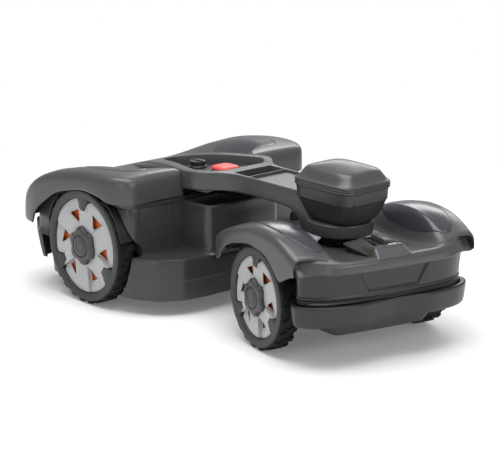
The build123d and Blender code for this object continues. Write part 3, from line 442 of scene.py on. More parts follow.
def circle(x, y, radius, n=72):
    angles = [2 * pi * i / n for i in range(n)]
    return [(x + radius * cos(t), y + radius * sin(t)) for t in angles]


def drill(frame, x, y, radius, low, high):
    """Upright cylinder cutter."""
    ring = circle(x, y, radius)
    return prism(frame, at(ring, low), at(ring, high))


def box(frame, low, high):
    """Box cutter between two opposite corners."""
    verts = [frame @ Vector((x, y, z))
             for x in (low[0], high[0]) for y in (low[1], high[1]) for z in (low[2], high[2])]
    return verts, BOX_FACES


def bake_modifiers(obj):
    graph = bpy.context.evaluated_depsgraph_get()
    mesh = bpy.data.meshes.new_from_object(obj.evaluated_get(graph))
    obj.modifiers.clear()
    obj.data = mesh


def cut(obj, cutters):
    """Subtract the cutters one after another."""
    for verts, faces in cutters:
        mesh = bpy.data.meshes.new("cutter")
        mesh.from_pydata([tuple(map(float, v)) for v in verts], [], faces)
        bm = bmesh.new()
        bm.from_mesh(mesh)
        bmesh.ops.recalc_face_normals(bm, faces=bm.faces)
        bm.to_mesh(mesh)
        bm.free()
        cutter = bpy.data.objects.new("cutter", mesh)
        bpy.context.scene.collection.objects.link(cutter)
        boolean = obj.modifiers.new("cut", "BOOLEAN")
        boolean.operation = "DIFFERENCE"
        boolean.solver = "EXACT"
        boolean.object = cutter
        uncut = obj.data
        bake_modifiers(obj)
        bpy.data.meshes.remove(uncut)
        bpy.data.objects.remove(cutter)
    shade(obj.data, 32)


# ------------------------------------------------------------------ two-fendered covers


class Cover:
    """Skin lofted along the machine between two side-view lines of (x, z).

    `fender` is the line over each fender, `valley` the one along the middle.
    Plan tables are (x stations, values): `width` is the half-width, `hem` the lower edge's
    height, `valley_edge` and `fender_edge` the |y| where the rise to the fender starts and
    ends. `tail` gives the half-width by share of the rows, for the last rows that fold under.
    `shift(t, y)` moves row t along x.
    """

    def __init__(self, fender, valley, width, hem, valley_edge, fender_edge, shoulder, crown,
                 shift=None, tail=None):
        self.fender, self.valley = spline(fender, 6), spline(valley, 6)
        stations = self.fender[:, 0]
        self.t = np.arange(len(stations)) / (len(stations) - 1)
        self.hem, self.shoulder, self.crown, self.shift = hem, shoulder, crown, shift
        self.width = monotone(*width, stations)
        if tail:
            folded = self.t > tail[0][0]
            self.width = np.where(folded, np.interp(self.t, *tail), self.width)
        self.valley_edge = np.interp(stations, *valley_edge)
        self.fender_edge = np.interp(stations, *fender_edge)
        self.lines = {}

    def line(self, y):
        """The top skin's x and z on every station at |y|."""
        y = abs(float(y))
        key = round(y, 3)
        if key in self.lines:
            return self.lines[key]
        fender, valley, edge = self.fender, self.valley, self.fender_edge
        rise = smooth01((y - self.valley_edge) / (edge - self.valley_edge))
        x = valley[:, 0] + (fender[:, 0] - valley[:, 0]) * rise
        z = valley[:, 1] + (fender[:, 1] - valley[:, 1]) * rise
        middle = (edge + self.width - self.shoulder) / 2
        half = np.maximum((self.width - self.shoulder - edge) / 2, 1)
        dome = np.maximum(0, 1 - ((y - middle) / half) ** 2)
        z = z + rise * self.crown * dome * smooth01((y - edge + 30) / 30)
        if self.shift:
            x = x + self.shift(self.t, y)
        self.lines[key] = (x, z)
        return x, z

    def top(self, i, y):
        """Point of the top skin on station i at |y|, before the outer shoulder."""
        x, z = self.line(y)
        return float(x[i]), float(z[i])

    def section(self, i):
        """Left half of station i, from inside the hem over the shoulder to the middle."""
        width = float(self.width[i])
        y_s = width - self.shoulder
        x_s, z_s = self.top(i, y_s)
        hem = min(float(monotone(*self.hem, x_s)), z_s - 0.5)
        drop = min(self.shoulder, (z_s - hem) * 0.92)
        points = [(x_s, width - 6, hem + min(12, (z_s - hem) * 0.4)),
                  (x_s, width - 5.2, hem + 1.2), (x_s, width - 4, hem),
                  (x_s, width - 1.4, hem), (x_s, width - 0.3, hem + 1.0)]
        z_side = z_s - drop
        for t in (0.12, 0.35, 0.6, 0.85):
            points.append((x_s, width + 0.6 * sin(pi * t), hem + (z_side - hem) * t))
        for k in range(7):
            a = (pi / 2) * k / 6
            points.append((x_s, y_s + self.shoulder * cos(a), z_side + drop * sin(a)))
        outer, inner = min(self.fender_edge[i], y_s - 2), self.valley_edge[i]
        ys = [y_s + (outer - y_s) * k / 10 for k in range(1, 11)]
        ys += [outer + (inner - outer) * k / 10 for k in range(1, 11)]
        ys += [inner * (1 - k / 6) for k in range(1, 7)]
        for y in ys:
            x, z = self.top(i, y)
            points.append((x, y, z))
        return points

    def mesh(self, name, mount):
        rows = [mirrored(self.section(i)) for i in range(len(self.fender))]
        verts = [p for row in rows for p in row]
        return mesh_object(name, verts, grid_faces(len(rows), len(rows[0])), COVER, mount, 50)

    def height(self, x, y):
        """Height of the top skin over a plan point."""
        xs, zs = self.line(y)
        a, b = xs[:-1], xs[1:]
        hit = (np.minimum(a, b) <= x) & (x <= np.maximum(a, b)) & (np.abs(b - a) > 1e-6)
        if not hit.any():
            return float(zs[-1])
        i = np.nonzero(hit)[0]
        t = (x - a[i]) / (b[i] - a[i])
        return float(np.max(zs[i] + t * (zs[i + 1] - zs[i])))


def closed_ring(outline, count):
    """Smooth closed curve through an outline, resampled to `count` points."""
    curve = spline(list(outline) + [outline[0]], 8)[:-1]
    ring = []
    for place in np.linspace(0, len(curve), count, endpoint=False):
        i = int(place)
        ring.append(curve[i] + (curve[(i + 1) % len(curve)] - curve[i]) * (place - i))
    return np.array(ring)


def patch(name, cover, outline, side, mount, lift, bulge):
    """Glossy skin lying on a cover inside a plan outline, with a rolled edge."""
    ring = closed_ring(outline, 72)
    centre = ring.mean(0)
    inner_rings = 14
    scales = [1.0, 1.0, 0.985, 0.96] + list(np.linspace(0.9, 0.05, inner_rings))
    lifts = [-2.5, lift * 0.2, lift * 0.8, lift] + [lift] * inner_rings
    loops = []
    for scale, rise in zip(scales, lifts):
        loop = []
        for p in ring:
            x, y = centre + (p - centre) * scale
            z = cover.height(x, y) + rise + bulge * (1 - scale * scale)
            loop.append((x, side * y, z))
        loops.append(loop)
    return loft(name, loops, GLOSS, mount, cap=(False, True), smooth=60)


def groove(name, cover, outline, side, mount):
    """Dark seam line around a patch."""
    ring = closed_ring(outline, 120)
    along = np.roll(ring, -1, 0) - np.roll(ring, 1, 0)
    normal = np.stack([along[:, 1], -along[:, 0]], 1)
    normal = normal / np.maximum(np.linalg.norm(along, axis=1)[:, None], 1e-6)
    if np.sum((ring - ring.mean(0)) * normal) < 0:
        normal = -normal
    verts = []
    # seam section: (distance outside the outline, height above the cover)
    for offset, rise in ((0.2, 0.25), (1.1, 0.25), (1.1, -1.5), (0.2, -1.5)):
        for p, q in zip(ring, normal):
            x, y = p + q * offset
            verts.append((x, side * y, cover.height(x, y) + rise))
    faces = grid_faces(4, len(ring), closed_cols=True, closed_rows=True)
    mesh_object(name, verts, faces, BLACK, mount, 60)


def fender_inserts(prefix, cover, outline, mount, lift, bulge):
    """Smoked inserts with their seams; the left one stands in for the CAD pair."""
    for side, hand in SIDES:
        insert = patch(f"{prefix}_{hand}", cover, outline, side, mount, lift, bulge)
        groove(f"{prefix}_seam_{hand}", cover, outline, side, mount)
        if side == 1:
            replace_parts(insert, f"{prefix}s")


# ------------------------------------------------------------------ main module


def build_main_cover():
    cover = Cover(
        fender=[(231, 143), (232, 152), (229, 168), (219, 190), (196, 221), (151, 250),
                (91, 272), (10, 287), (-60, 292), (-116, 291), (-129, 288.5), (-136.5, 282),
                (-139.5, 272), (-141, 254), (-141, 235)],
        valley=[(235, 143), (236, 156), (235, 176), (229, 197), (205, 221), (160, 235),
                (95, 245), (10, 250), (-60, 250), (-102, 249.5), (-111, 247.5), (-116, 244),
                (-118.5, 240), (-119.5, 237), (-119.5, 234)],
        width=([-141, -139.8, -136.5, -129, -118, -100, -75, -40, 60, 150, 196, 219, 229, 232],
               [224, 230, 239, 248, 256, 264.5, 270.5, 273, 274, 272, 265, 255, 246, 240]),
        hem=([-142, -100, -92, -83, -60, -19, 35, 82, 115, 150, 165, 176, 233],
             [234.6, 234.6, 236.5, 240, 247, 250.5, 241, 227, 207, 183, 166, 143, 143]),
        valley_edge=([-141, -128, -104, -70], [82, 82, 84, 90]),
        fender_edge=([-141, -128, -112, -92, -60, 60, 150, 200],
                     [108, 108, 116, 150, 212, 228, 215, 190]),
        shoulder=17, crown=1.5)
    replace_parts(cover.mesh("cover_main", ON_MAIN), "main_cover")
    outline = [(58, 206), (26, 224), (-20, 230), (-62, 222), (-92, 200), (-98, 176),
               (-84, 150), (-48, 130), (0, 124), (40, 134), (62, 168)]
    fender_inserts("fender_insert", cover, outline, ON_MAIN, lift=0.7, bulge=0.3)


def wheel_wells():
    """Cutters around both front wheels."""
    ring = circle(0, FRONT_AXLE_Z, 135)
    return [prism(MAIN, across(ring, low), across(ring, high))
            for low, high in ((208, 320), (-320, -208))]


def build_lower_walls(wells):
    outline = symmetric_outline([
        (-139, 0.0, 1), (-139, 100, 1), (-141, 165, 90), (-131, 243, 34), (-84, 247, 10),
        (150, 246, 20), (196, 240, 20), (205, 200, 20), (205, 0.0, 1)], 5)
    walls = loft("lower_body_walls", stack(outline, [
        (-3, 116), (-1.5, 121), (1.2, 126), (1.0, 150), (0.2, 180), (0.6, 205), (2.2, 219),
        (3.2, 222.5), (1.2, 224.5), (-0.4, 227.5), (-0.2, 232.8), (1.2, 233.6)]), DARK, ON_MAIN)
    # clears what would stand above the cover's nose, (x, z)
    nose = [(260, 120), (228, 143), (214, 183), (187, 214), (144, 240), (60, 246),
            (60, 330), (260, 330)]
    cut(walls, wells + [drill(MAIN, BLADE_X, 0, 46, 100, 140),
                        box(MAIN, (-133, -188, 133), (193, 188, 260)),
                        prism(MAIN, across(nose, -300), across(nose, 300))])
    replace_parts(walls, "lower_body")


def build_blade_skirt(wells):
    outline = symmetric_outline([
        (-223, 0.0, 1), (-222, 110, 60), (-214, 160, 50), (-186, 208, 50), (-134, 240, 60),
        (-60, 247, 40), (60, 247, 40), (150, 236, 40), (200, 180, 40), (203, 0.0, 1)], 6)
    # the outline drawn in to the round hole over the blade disc, point for point
    centre = np.array([BLADE_X, 0.0])
    spokes = np.array(outline, float) - centre
    hole = spokes / np.linalg.norm(spokes, axis=1)[:, None] * 44 + centre
    inner, top = inset(outline, 9), inset(outline, 7)
    top_z, under_z = 122.6, 115.0
    loops = stack(outline, [
        (5, 33), (2.2, 34.5), (1.6, 40), (0.4, 70), (0.0, 76), (-1.6, 78.5), (-1.2, 82),
        (0.2, 112), (1.4, 119.5), (3.2, 122), (7, top_z)])
    loops += [at(blend(top, hole, 0.35), top_z), at(blend(top, hole, 0.7), top_z),
              at(hole, top_z), at(hole, under_z), at(blend(inner, hole, 0.6), under_z),
              at(blend(inner, hole, 0.2), under_z), at(inner, 113), at(inset(outline, 8.4), 36)]
    faces = grid_faces(len(loops), len(outline), closed_cols=True, closed_rows=True)
    skirt = mesh_object("blade_skirt", [p for loop in loops for p in loop], faces, DARK, ON_MAIN)
    cut(skirt, wells)


def build_chamber_and_well_walls():
    lathe("blade_chamber_wall", [(140.2, 44), (140.2, 114.6), (144.2, 114.6), (144.2, 44)],
          DARK, (MAIN @ Matrix.Translation((BLADE_X, 0, 0)), "main_module"), n=144)
    outline = round_poly([(-128, 42), (-128, 114), (128, 114), (128, 42)], 8, 5)
    for side, hand in SIDES:
        loft(f"well_wall_{hand}", [across(outline, side * 201.5), across(outline, side * 207.2)],
             DARK, ON_MAIN)


def build_bay_floor():
    outline = symmetric_outline([(-134, 0.0, 1), (-134, 189, 12), (194, 189, 12),
                                 (194, 0.0, 1)], 4)
    plate = loft("bay_floor", [at(outline, 123.5), at(outline, 132.9)], DARK, ON_MAIN)
    cut(plate, [drill(MAIN, BLADE_X, 0, 42, 100, 140)])


def build_tower():
    outline = symmetric_outline([(-223, 0.0, 1), (-221, 99, 24), (-124, 103, 4),
                                 (-124, 0.0, 1)], 8)
    loft("tower", stack(outline, [
        (-6, 121), (-3, 124.5), (-0.6, 129), (0, 136), (0.6, 200), (0.4, 214), (-1.2, 218),
        (-1.4, 222.5), (0.2, 225), (4, 225.4), (6, 223), (7, 200), (8, 134)]), DARK, ON_MAIN)


def build_flap_seams():
    """U-shaped dark lines on the rear wall of the lower body."""
    path = spline([
        (-138.6, 216, 228), (-138.6, 216, 214), (-138.4, 212, 184), (-138.4, 204, 177.5),
        (-138.5, 190, 177), (-138.5, 150, 179), (-138.5, 139, 182), (-138.6, 136, 190),
        (-138.6, 134, 212), (-138.6, 134, 228)], 5)
    wall = ([100, 165, 243], [-139, -141, -131])        # the rear wall's x by y
    for side, hand in SIDES:
        seam = [(float(np.interp(y, *wall)) + 0.7, side * y, z) for _, y, z in path]
        tube(f"flap_seam_{hand}", seam, 0.8, BLACK, ON_MAIN)


# Arm, console and head in one moulding: tables are (x, value)
ARM_STATIONS = [
    173, 171, 166, 160, 150, 138, 125, 110, 96, 82, 68, 54, 42, 32, 30, 16, 0, -20, -40, -66,
    -90, -120, -140, -152, -165, -178, -190, -202, -213, -216, -217.5, -228, -241, -243,
    -244.5, -256, -270, -285, -287, -288.5, -291, -292.5, -310, -330, -350, -372, -394, -408,
    -418, -427, -434, -438, -443, -448, -452, -456, -462, -468, -474, -477, -480, -492, -508,
    -524, -540, -552, -560, -565, -568.5, -570.5]
ARM_WIDTH = (
    [-571, -570, -566, -560, -552, -540, -524, -508, -492, -470, -447, -440, -400, -300, -262,
     -245, -228, -212, -196, -182, -165, -120, -66, 10, 64, 96, 125, 150, 166, 171, 174],
    [2, 11, 24, 35.5, 44.8, 54.2, 60.9, 63, 61.8, 58.6, 55.5, 55, 55.5, 57, 59.5,
     63.5, 71.5, 85, 98, 106, 109.5, 101.5, 87, 64, 45, 33, 22, 12.5, 6, 3, 1])
ARM_TOP = (
    [-571, -477, -474, -438, -380, -240, -180, -150, -66, 10, 64, 125, 160, 174],
    [239.5, 239.5, 241.0, 292.5, 293.6, 294.4, 293.5, 291.5, 286, 275, 264, 246, 235.0, 229.5])
ARM_BOTTOM = (
    [-571, -560, -449.5, -446, -441, -434, -424, -408, -380, -300, -185, -152, -140, -128,
     60, 174],
    [214.5, 213, 213, 217, 228, 238, 246, 252.5, 255, 256, 254.5, 252.5, 249, 244.5, 240, 220])
ARM_RECESS = (
    [-438, -292.5, -291, -288.5, -287, -244.5, -243, -217.5, -215, -190, -165, -120, -66, 0, 30],
    [49.8, 49.8, 49.8, 49.8, 49.2, 49.2, 49.2, 49.2, 52, 78, 86, 76, 58, 34, 16])


def arm_floor(x):
    """Height of the recessed floor in the arm's top, or None where the top is closed."""
    if -215.5 <= x <= 31:
        return 246.0 if x > -200 else 252.0
    if -287.5 <= x <= -244:
        return 262.0
    if -438 <= x <= -292:
        return 285.8
    return None


def arm_section(x):
    width, bottom = float(monotone(*ARM_WIDTH, x)), float(monotone(*ARM_BOTTOM, x))
    top = float(np.interp(x, *ARM_TOP)) if x < -430 else float(monotone(*ARM_TOP, x))
    floor = arm_floor(x)
    corner = min(5.0, (top - bottom) * 0.3, width * 0.4)
    edge = 3.2
    recess = min(float(monotone(*ARM_RECESS, x)), width - 5.5)
    quarter = [pi / 2 * k / 4 for k in range(5)]
    half = [(0, bottom), (width * 0.5, bottom), (width - corner - 2, bottom)]
    half += [(width - corner + corner * sin(a), bottom + corner - corner * cos(a))
             for a in quarter]
    half.append((width + 0.5, (top + bottom) / 2))
    half += [(width - edge + edge * cos(a), top - edge + edge * sin(a)) for a in quarter]
    half.append((recess + 1.8, top))
    if floor is None:
        half += [(recess + 0.8, top + 0.01), (recess, top + 0.01)]
        floor = top + 0.02
    else:
        half += [(recess + 0.6, top - 0.5), (recess, top - 1.8)]
    half += [(recess - 0.2, floor), (recess * 0.6, floor), (0, floor)]
    return mirrored([(x, y, z) for y, z in half], closed=True)


def build_arm():
    arm = loft("arm_and_console", [arm_section(x) for x in ARM_STATIONS], COVER, ON_MAIN,
               smooth=40)
    cut(arm, [drill(HEAD, 0, 0, 35, 200, 300), drill(MAIN, BUTTON_X, 0, 14.5, 235, 300),
              drill(MAIN, KNOB_X, 0, 12, 235, 300), drill(MAIN, BLADE_X, 70, 24, 235, 245.9),
              box(MAIN, (-480, -27, 257), (-195, 27, 272))])
    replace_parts(arm, "arm_shell")


# Positioning module: rings of (half length, half width, z, superellipse power)
BOWL_RINGS = [
    (44, 34, 238.2, 3.0), (53, 42, 238.6, 3.2), (57.5, 46, 241, 3.4), (61, 50, 246, 3.8),
    (70, 57, 262, 4.6), (75.5, 61.6, 281, 5.6), (76.2, 62.3, 284, 5.8),
    (77.6, 63.6, 285.6, 6.0), (78.4, 64.4, 300, 6.2), (78.6, 64.6, 308, 6.4),
    (70, 56, 308.4, 6), (66, 52, 280, 5), (56, 42, 252, 4), (44, 34, 243, 3)]
HAT_RINGS = [
    (70, 56, 308.6, 6.2), (79.5, 65.5, 308.8, 6.4), (81.2, 67, 310, 6.4),
    (81.6, 67.3, 311.6, 6.4), (81.2, 67, 313.2, 6.4), (80.2, 66.1, 314.0, 6.4),
    (81.2, 67, 314.8, 6.4), (81.6, 67.3, 316.4, 6.4), (81.2, 67, 318, 6.4),
    (80.2, 66.1, 318.8, 6.4), (81.1, 66.9, 319.6, 6.4), (81.4, 67.2, 321, 6.4),
    (80.6, 66.4, 323, 6.2), (77.4, 63.4, 325.0, 6.0), (75.8, 61.9, 326.6, 5.8),
    (69.5, 56.2, 336.6, 5.4), (65.8, 52.8, 342.2, 5.2), (63, 50.2, 344.8, 5.0),
    (58, 45.6, 346.9, 4.6), (48, 37, 350.2, 3.8), (36, 27, 353.6, 3.0), (22, 16, 356.4, 2.4),
    (8, 6, 357.8, 2)]


def build_positioning_module():
    mount = (HEAD, "main_module")
    bowl = loft("antenna_bowl", [superellipse(*ring) for ring in BOWL_RINGS], BOWL, mount,
                cap=(False, False), smooth=30)
    cut(bowl, [box(MAIN, (-452, -54.5, 262), (-380, 54.5, 292.8))])
    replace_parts(bowl, "antenna_housing")
    hat = loft("antenna_hat_shell", [superellipse(*ring) for ring in HAT_RINGS], MODULE, mount,
               smooth=26)
    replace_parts(hat, "antenna_hat")
    for k, y in enumerate((30, 42)):
        place = Matrix.Translation((-75.4, y, 289)) @ Matrix.Rotation(-pi / 2, 4, "Y")
        lathe(f"module_port_{k}",
              [(0, 0), (3.4, 0), (3.4, 1.6), (2.4, 2.2), (1.2, 1.2), (0, 1.2)], BLACK,
              (HEAD @ place, "main_module"), n=24, closed=False)


# ------------------------------------------------------------------ rear module


def rear_shift(t, y):
    """The rear rim sweeps forward towards the corners; the edge below it sweeps less."""
    rim = float(np.interp(y, [0, 46, 74, 100, 115, 130, 147, 160, 176, 190, 205, 212],
                          [0, 0, 1.5, 4.5, 8, 13, 20, 27, 38, 50, 64, 71]))
    seam = float(np.interp(y, [0, 74, 100, 119, 135, 150, 165, 178, 190, 200, 206, 212],
                           [0, 2, 4, 7, 11, 16, 22, 29, 38, 49, 60, 68]))
    to_rim = smooth01((t - 0.62) / 0.16)
    to_seam = smooth01((t - 0.80) / 0.17)
    return to_rim * (rim * (1 - to_seam) + seam * to_seam)


def build_rear_cover():
    cover = Cover(
        fender=[(199, 148), (200, 154), (196, 166), (186, 179), (161, 197), (127, 214),
                (87, 229.5), (54, 240), (7, 251), (-40, 254.5), (-90, 250), (-124, 240),
                (-154, 227), (-176, 218.5), (-189, 214.6), (-196, 210.6), (-198.8, 204),
                (-199.2, 195.5), (-198.2, 189.6), (-193, 188.6)],
        valley=[(202, 148), (203, 153), (200, 160), (192, 168), (165, 182), (130, 189),
                (90, 191.5), (54, 192), (7, 192), (-40, 193.5), (-90, 196.5), (-124, 201),
                (-154, 206), (-176, 210.4), (-189, 212.2), (-196, 209.2), (-199.2, 203.4),
                (-199.4, 195.4), (-198.3, 189.6), (-193, 188.6)],
        width=([-206, -160, -130, -60, 100, 150, 175, 188, 196, 201],
               [204, 206, 207.5, 209, 209, 202, 188, 176, 164, 152]),
        hem=([-165, -150, -138, -126, -118, -112, -105, -95, -78, -46, 5, 53, 82, 107, 120,
              134, 150, 201],
             [190, 186, 181, 175, 170.5, 168, 170, 179, 194, 209, 213.5, 205, 197, 185, 173,
              158, 148, 148]),
        valley_edge=([0], [98]), fender_edge=([0], [140]), shoulder=15, crown=2.5,
        shift=rear_shift, tail=([0.78, 0.84, 0.92, 1.0], [204.3, 203.0, 198.0, 191.0]))
    shell = cover.mesh("cover_rear", ON_REAR)
    cut(shell, [drill(REAR, 0, 0, 48, 150, 215)])
    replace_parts(shell, "rear_cover")
    outline = [(66, 150), (55, 168), (10, 181), (-40, 186), (-92, 182), (-134, 168),
               (-152, 152), (-150, 138), (-128, 124), (-80, 118), (-20, 118), (30, 122),
               (60, 134)]
    fender_inserts("rear_insert", cover, outline, ON_REAR, lift=0.8, bulge=1.0)


def build_centre_block():
    """Raised block on the rear cover's middle, with a slot and smoked side windows."""
    base = symmetric_outline([(-198.5, 0.0, 1), (-198, 42, 8), (-120, 42, 4), (-64, 40, 6),
                              (-60, 0.0, 1)], 5)
    crest = symmetric_outline([(-172, 0.0, 1), (-172, 33, 5), (-128, 33, 5), (-98, 27, 5),
                               (-98, 0.0, 1)], 5)
    loops = stack(base, [(16, 188), (6, 203), (1.0, 208.8), (1.6, 211.2)])
    loops.append(at(blend(inset(base, 1.6), crest, 0.5), 217.6))
    loops += stack(crest, [(0, 224.4), (0.8, 226.0), (2.2, 226.8), (12, 227.0)])
    block = loft("centre_block_shell", loops, COVER, ON_REAR, smooth=30)
    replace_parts(block, "centre_block")
    x0, x1, half_y = -160, -112, 4                      # slot
    cut(block, [box(REAR, (x0, -half_y, 221), (x1, half_y, 235))])
    corners = [(x0, -half_y), (x1, -half_y), (x1, half_y), (x0, half_y)]
    mesh_object("block_slot_floor", at(corners, 222.2), [(0, 1, 2, 3)], BLACK, ON_REAR)
    window = [(-176, 39.2, 212.0), (-104, 38.6, 205.6), (-108, 34.0, 217.4),
              (-170, 34.8, 222.4)]
    faces = [(0, 1, 2, 3), (4, 5, 6, 7), (0, 1, 5, 4), (1, 2, 6, 5), (2, 3, 7, 6), (3, 0, 4, 7)]
    for side, hand in SIDES:
        verts = [(x, side * y, z) for x, y, z in window]
        verts += [(x, side * (y + 1.4), z + 0.6) for x, y, z in window]
        mesh_object(f"block_window_{hand}", verts, faces, SMOKE, ON_REAR)


def panel_recess(y, z):
    """Depth of the chamfered trapezoid field in the middle of the rear panel."""
    if z >= 197:
        return 0.0
    half = 55 + (z - 143) / (194 - 143) * 28
    d = min((half - abs(y)) * 0.85, z - 146.0)
    return 4.2 * float(np.clip(d / 4.5, 0, 1))


def build_rear_panel():
    """Panel from the rear cover's seam down to the bumper."""
    at_seam = spline([(-120, 178), (-138, 185), (-152, 182), (-166, 168), (-178, 148),
                      (-186, 124), (-192, 78), (-194.5, 30), (-195, 0)], 6)
    at_ledge = spline([(-118, 174), (-136, 181), (-149, 178), (-162, 165), (-172, 147),
                       (-179, 126), (-186, 82), (-188, 34), (-188, 0)], 6)
    at_seam[:, 0] -= 1.2
    at_ledge[:, 0] -= 0.5
    # levels of (z, inward offset), top to bottom
    levels = [(197.2, 6.0), (196.8, 1.2)] + [(196 - 1.6 * i, 0.0) for i in range(33)]
    levels += [(143.0, -1.2), (141.6, -1.8), (139.6, -1.6), (137.6, -0.4), (135.6, 0.8),
               (133.8, 0.4), (132.4, -1.6), (131.2, -2.8), (130.2, -2.2), (129.4, 3.0),
               (129.0, 14.0)]
    corner = 18                                         # samples that turn the outer corner
    rows = []
    for z, d in levels:
        k = float(np.interp(z, [134, 146, 160, 178, 196], [0.98, 0.86, 0.66, 0.36, 0.0]))
        line = at_seam * (1 - k) + at_ledge * k
        normals = inward_normals(line, -60.0)
        half = [tuple(line[i] + normals[i] * d) for i in range(corner)]
        ys = np.concatenate([np.linspace(line[corner, 1], 100, 8)[1:], np.linspace(98, 40, 40),
                             np.linspace(36, 0, 8)])
        half += [(float(np.interp(-y, -line[:, 1], line[:, 0])) + d, y) for y in ys]
        rows.append(mirrored([(x + panel_recess(y, z), y, z) for x, y in half]))
    # painted shade: the panel takes the darkened copy of the chassis plastic
    mesh_object("rear_panel", [p for row in rows for p in row],
                grid_faces(len(rows), len(rows[0])), SHADED_DARK, ON_REAR, 34)


def bumper_rail(name, half_path, centre_x, section, finish, mount):
    """Closed section of (inward offset, z) swept round a plan path, flat at its ends."""
    path = np.array(mirrored(spline(half_path, 5)))
    normals = inward_normals(path, centre_x)
    n, rows = len(path), len(section)
    verts = [p for d, z in section for p in at(path + normals * d, z)]
    faces = grid_faces(rows, n, closed_rows=True)
    faces += [tuple(r * n for r in range(rows)), tuple(r * n + n - 1 for r in range(rows))]
    return mesh_object(name, verts, faces, finish, mount, 40)


def bumper_pins(prefix, profile, x, y, z, mount):
    """Steel pins pointing forward, left then right."""
    frame, body = mount
    for side, hand in ((1, "l"), (-1, "r")):
        place = Matrix.Translation((x, side * y, z)) @ Matrix.Rotation(pi / 2, 4, "Y")
        lathe(f"{prefix}_{hand}", profile, PIN, (frame @ place, body), n=24, closed=False)


def build_rear_bumper():
    mount = (REAR, "rear_bumper")
    # painted shade: the rear bumper takes the darkened copy of the chassis plastic, unlike the
    # front bumper
    rail = bumper_rail(
        "bumper_rear",
        [(-118, 182), (-132, 194), (-148, 196), (-167, 184), (-184, 158), (-194, 122),
         (-199.5, 86), (-195, 40), (-191, 0)], -60.0,
        [(12.0, 127.0), (9, 128.6), (5, 129.0), (2, 128.2), (0.3, 126.4), (0, 124), (0.6, 119),
         (1.4, 108), (3.0, 96), (4.4, 88.5), (6.0, 86.2), (8, 85.6), (10.2, 87), (11, 92),
         (11.5, 110), (12, 122)], SHADED_DARK, mount)
    bumper_pins("bumper_pin", [(0, 0), (4, 0), (4, 27), (3, 28), (0, 28)], -188, 90, 95, mount)
    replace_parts(rail, "rear_bumper")


def build_rear_chassis():
    lower = round_poly([(-148, -104), (-150, 0), (-148, 104), (140, 136), (164, 118), (172, 78),
                        (172, -78), (164, -118), (140, -136)],
                       [18, 1, 18, 16, 14, 14, 14, 14, 16], 6)
    upper = round_poly([(-164, -128), (-168, 0), (-164, 128), (140, 141), (168, 124), (178, 80),
                        (178, -80), (168, -124), (140, -141)],
                       [20, 1, 20, 16, 14, 14, 14, 14, 16], 6)
    loops = stack(lower, [(4, 53.5), (1.2, 54.4), (0, 57)])
    loops.append(at(blend(lower, upper, 0.5), 74))
    loops += stack(upper, [
        (0, 90), (1.2, 91.5), (1.4, 96), (0, 97.5), (0, 153), (2.5, 156.5), (6, 157.5),
        (10, 157.5), (11, 150), (12, 96), (40, 92)])
    tub = loft("rear_chassis_tub", loops, DARK, ON_REAR, smooth=34)
    seat = [(19, 0), (56, 0), (57.5, 1.4), (57.5, 8), (54, 9.6), (50, 9.6), (49, 6), (22, 5),
            (19, 3.5)]
    for side, hand in ((1, "l"), (-1, "r")):
        place = (Matrix.Translation((0, side * 139, REAR_AXLE_Z))
                 @ Matrix.Rotation(-side * pi / 2, 4, "X"))
        lathe(f"motor_seat_{hand}", seat, DARK, (REAR @ place, "rear_module"), n=72)
    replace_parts(tub, "rear_chassis")


# ------------------------------------------------------------------ console and collar


def build_stop_button():
    """Low domed cap on its stem, its bezel, and the seat of the power knob ahead of it."""
    half = 24
    outline = round_poly([(BUTTON_X - half, -26), (BUTTON_X - half, 26),
                          (BUTTON_X + half, 26), (BUTTON_X + half, -26)], 17, 8)

    def scaled_loops(levels):
        """Loops of the outline from levels of (scale, z)."""
        return [[(BUTTON_X + (x - BUTTON_X) * k, y * k, z) for x, y in outline]
                for k, z in levels]

    cap = loft("stop_cap", scaled_loops([
        (0.3, 254), (0.3, 277.4), (0.9, 277.6), (0.98, 278.4), (1.0, 280.2), (0.975, 283.6),
        (0.9, 285.4), (0.76, 286.5), (0.5, 286.8), (0.2, 286.9)]),
        RED, (MAIN, "stop_button"), smooth=38)
    loft("stop_bezel", scaled_loops([
        (1.2, 266), (1.18, 273.6), (1.16, 275.4), (1.12, 276.0), (1.07, 275.8), (1.05, 273.4),
        (0.4, 273.2), (0.38, 266)]), DARK, ON_MAIN, smooth=34)
    lathe("knob_seat", [(10, 262), (19.6, 262), (19.6, 270.8), (18.8, 271.8), (17, 272.2),
                        (10, 272.2)],
          DARK, (MAIN @ Matrix.Translation((KNOB_X, 0, 0)), "main_module"), n=64)
    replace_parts(cap, "stop_button")


def build_collar():
    """Collar around the swivel: five rings crossed by forty upright ribs."""
    profile = [(17, 189.4), (34, 189.4)]
    for k in range(5):
        z = 190.4 + 4.1 * k
        profile += [(36, z), (40, z + 0.9), (40, z + 2.3), (36, z + 3.2)]
    profile += [(35, 211.2), (17, 211.2)]
    collar = lathe("collar_rubber", profile, COLLAR, ON_YOKE)
    ribs = 40
    verts, faces = [], []
    for k in range(ribs):
        t = 2 * pi * k / ribs
        verts += [(r * cos(t + dt), r * sin(t + dt), z)
                  for r in (35, 41) for z in (191, 210.6) for dt in (-0.028, 0.028)]
        b = 8 * k
        faces += [(b, b + 1, b + 3, b + 2), (b + 4, b + 5, b + 7, b + 6),
                  (b, b + 1, b + 5, b + 4), (b + 2, b + 3, b + 7, b + 6),
                  (b, b + 2, b + 6, b + 4), (b + 1, b + 3, b + 7, b + 5)]
    mesh_object("collar_ribs", verts, faces, COLLAR, ON_YOKE)
    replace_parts(collar, "collar")


def build_turret():
    """Ring in the rear cover around the collar's foot."""
    lathe("turret", [(48, 190.2), (51, 190.0), (56, 192.2), (59.5, 193.2), (59.5, 188),
                     (50, 186), (48, 188)], DARK, ON_REAR)


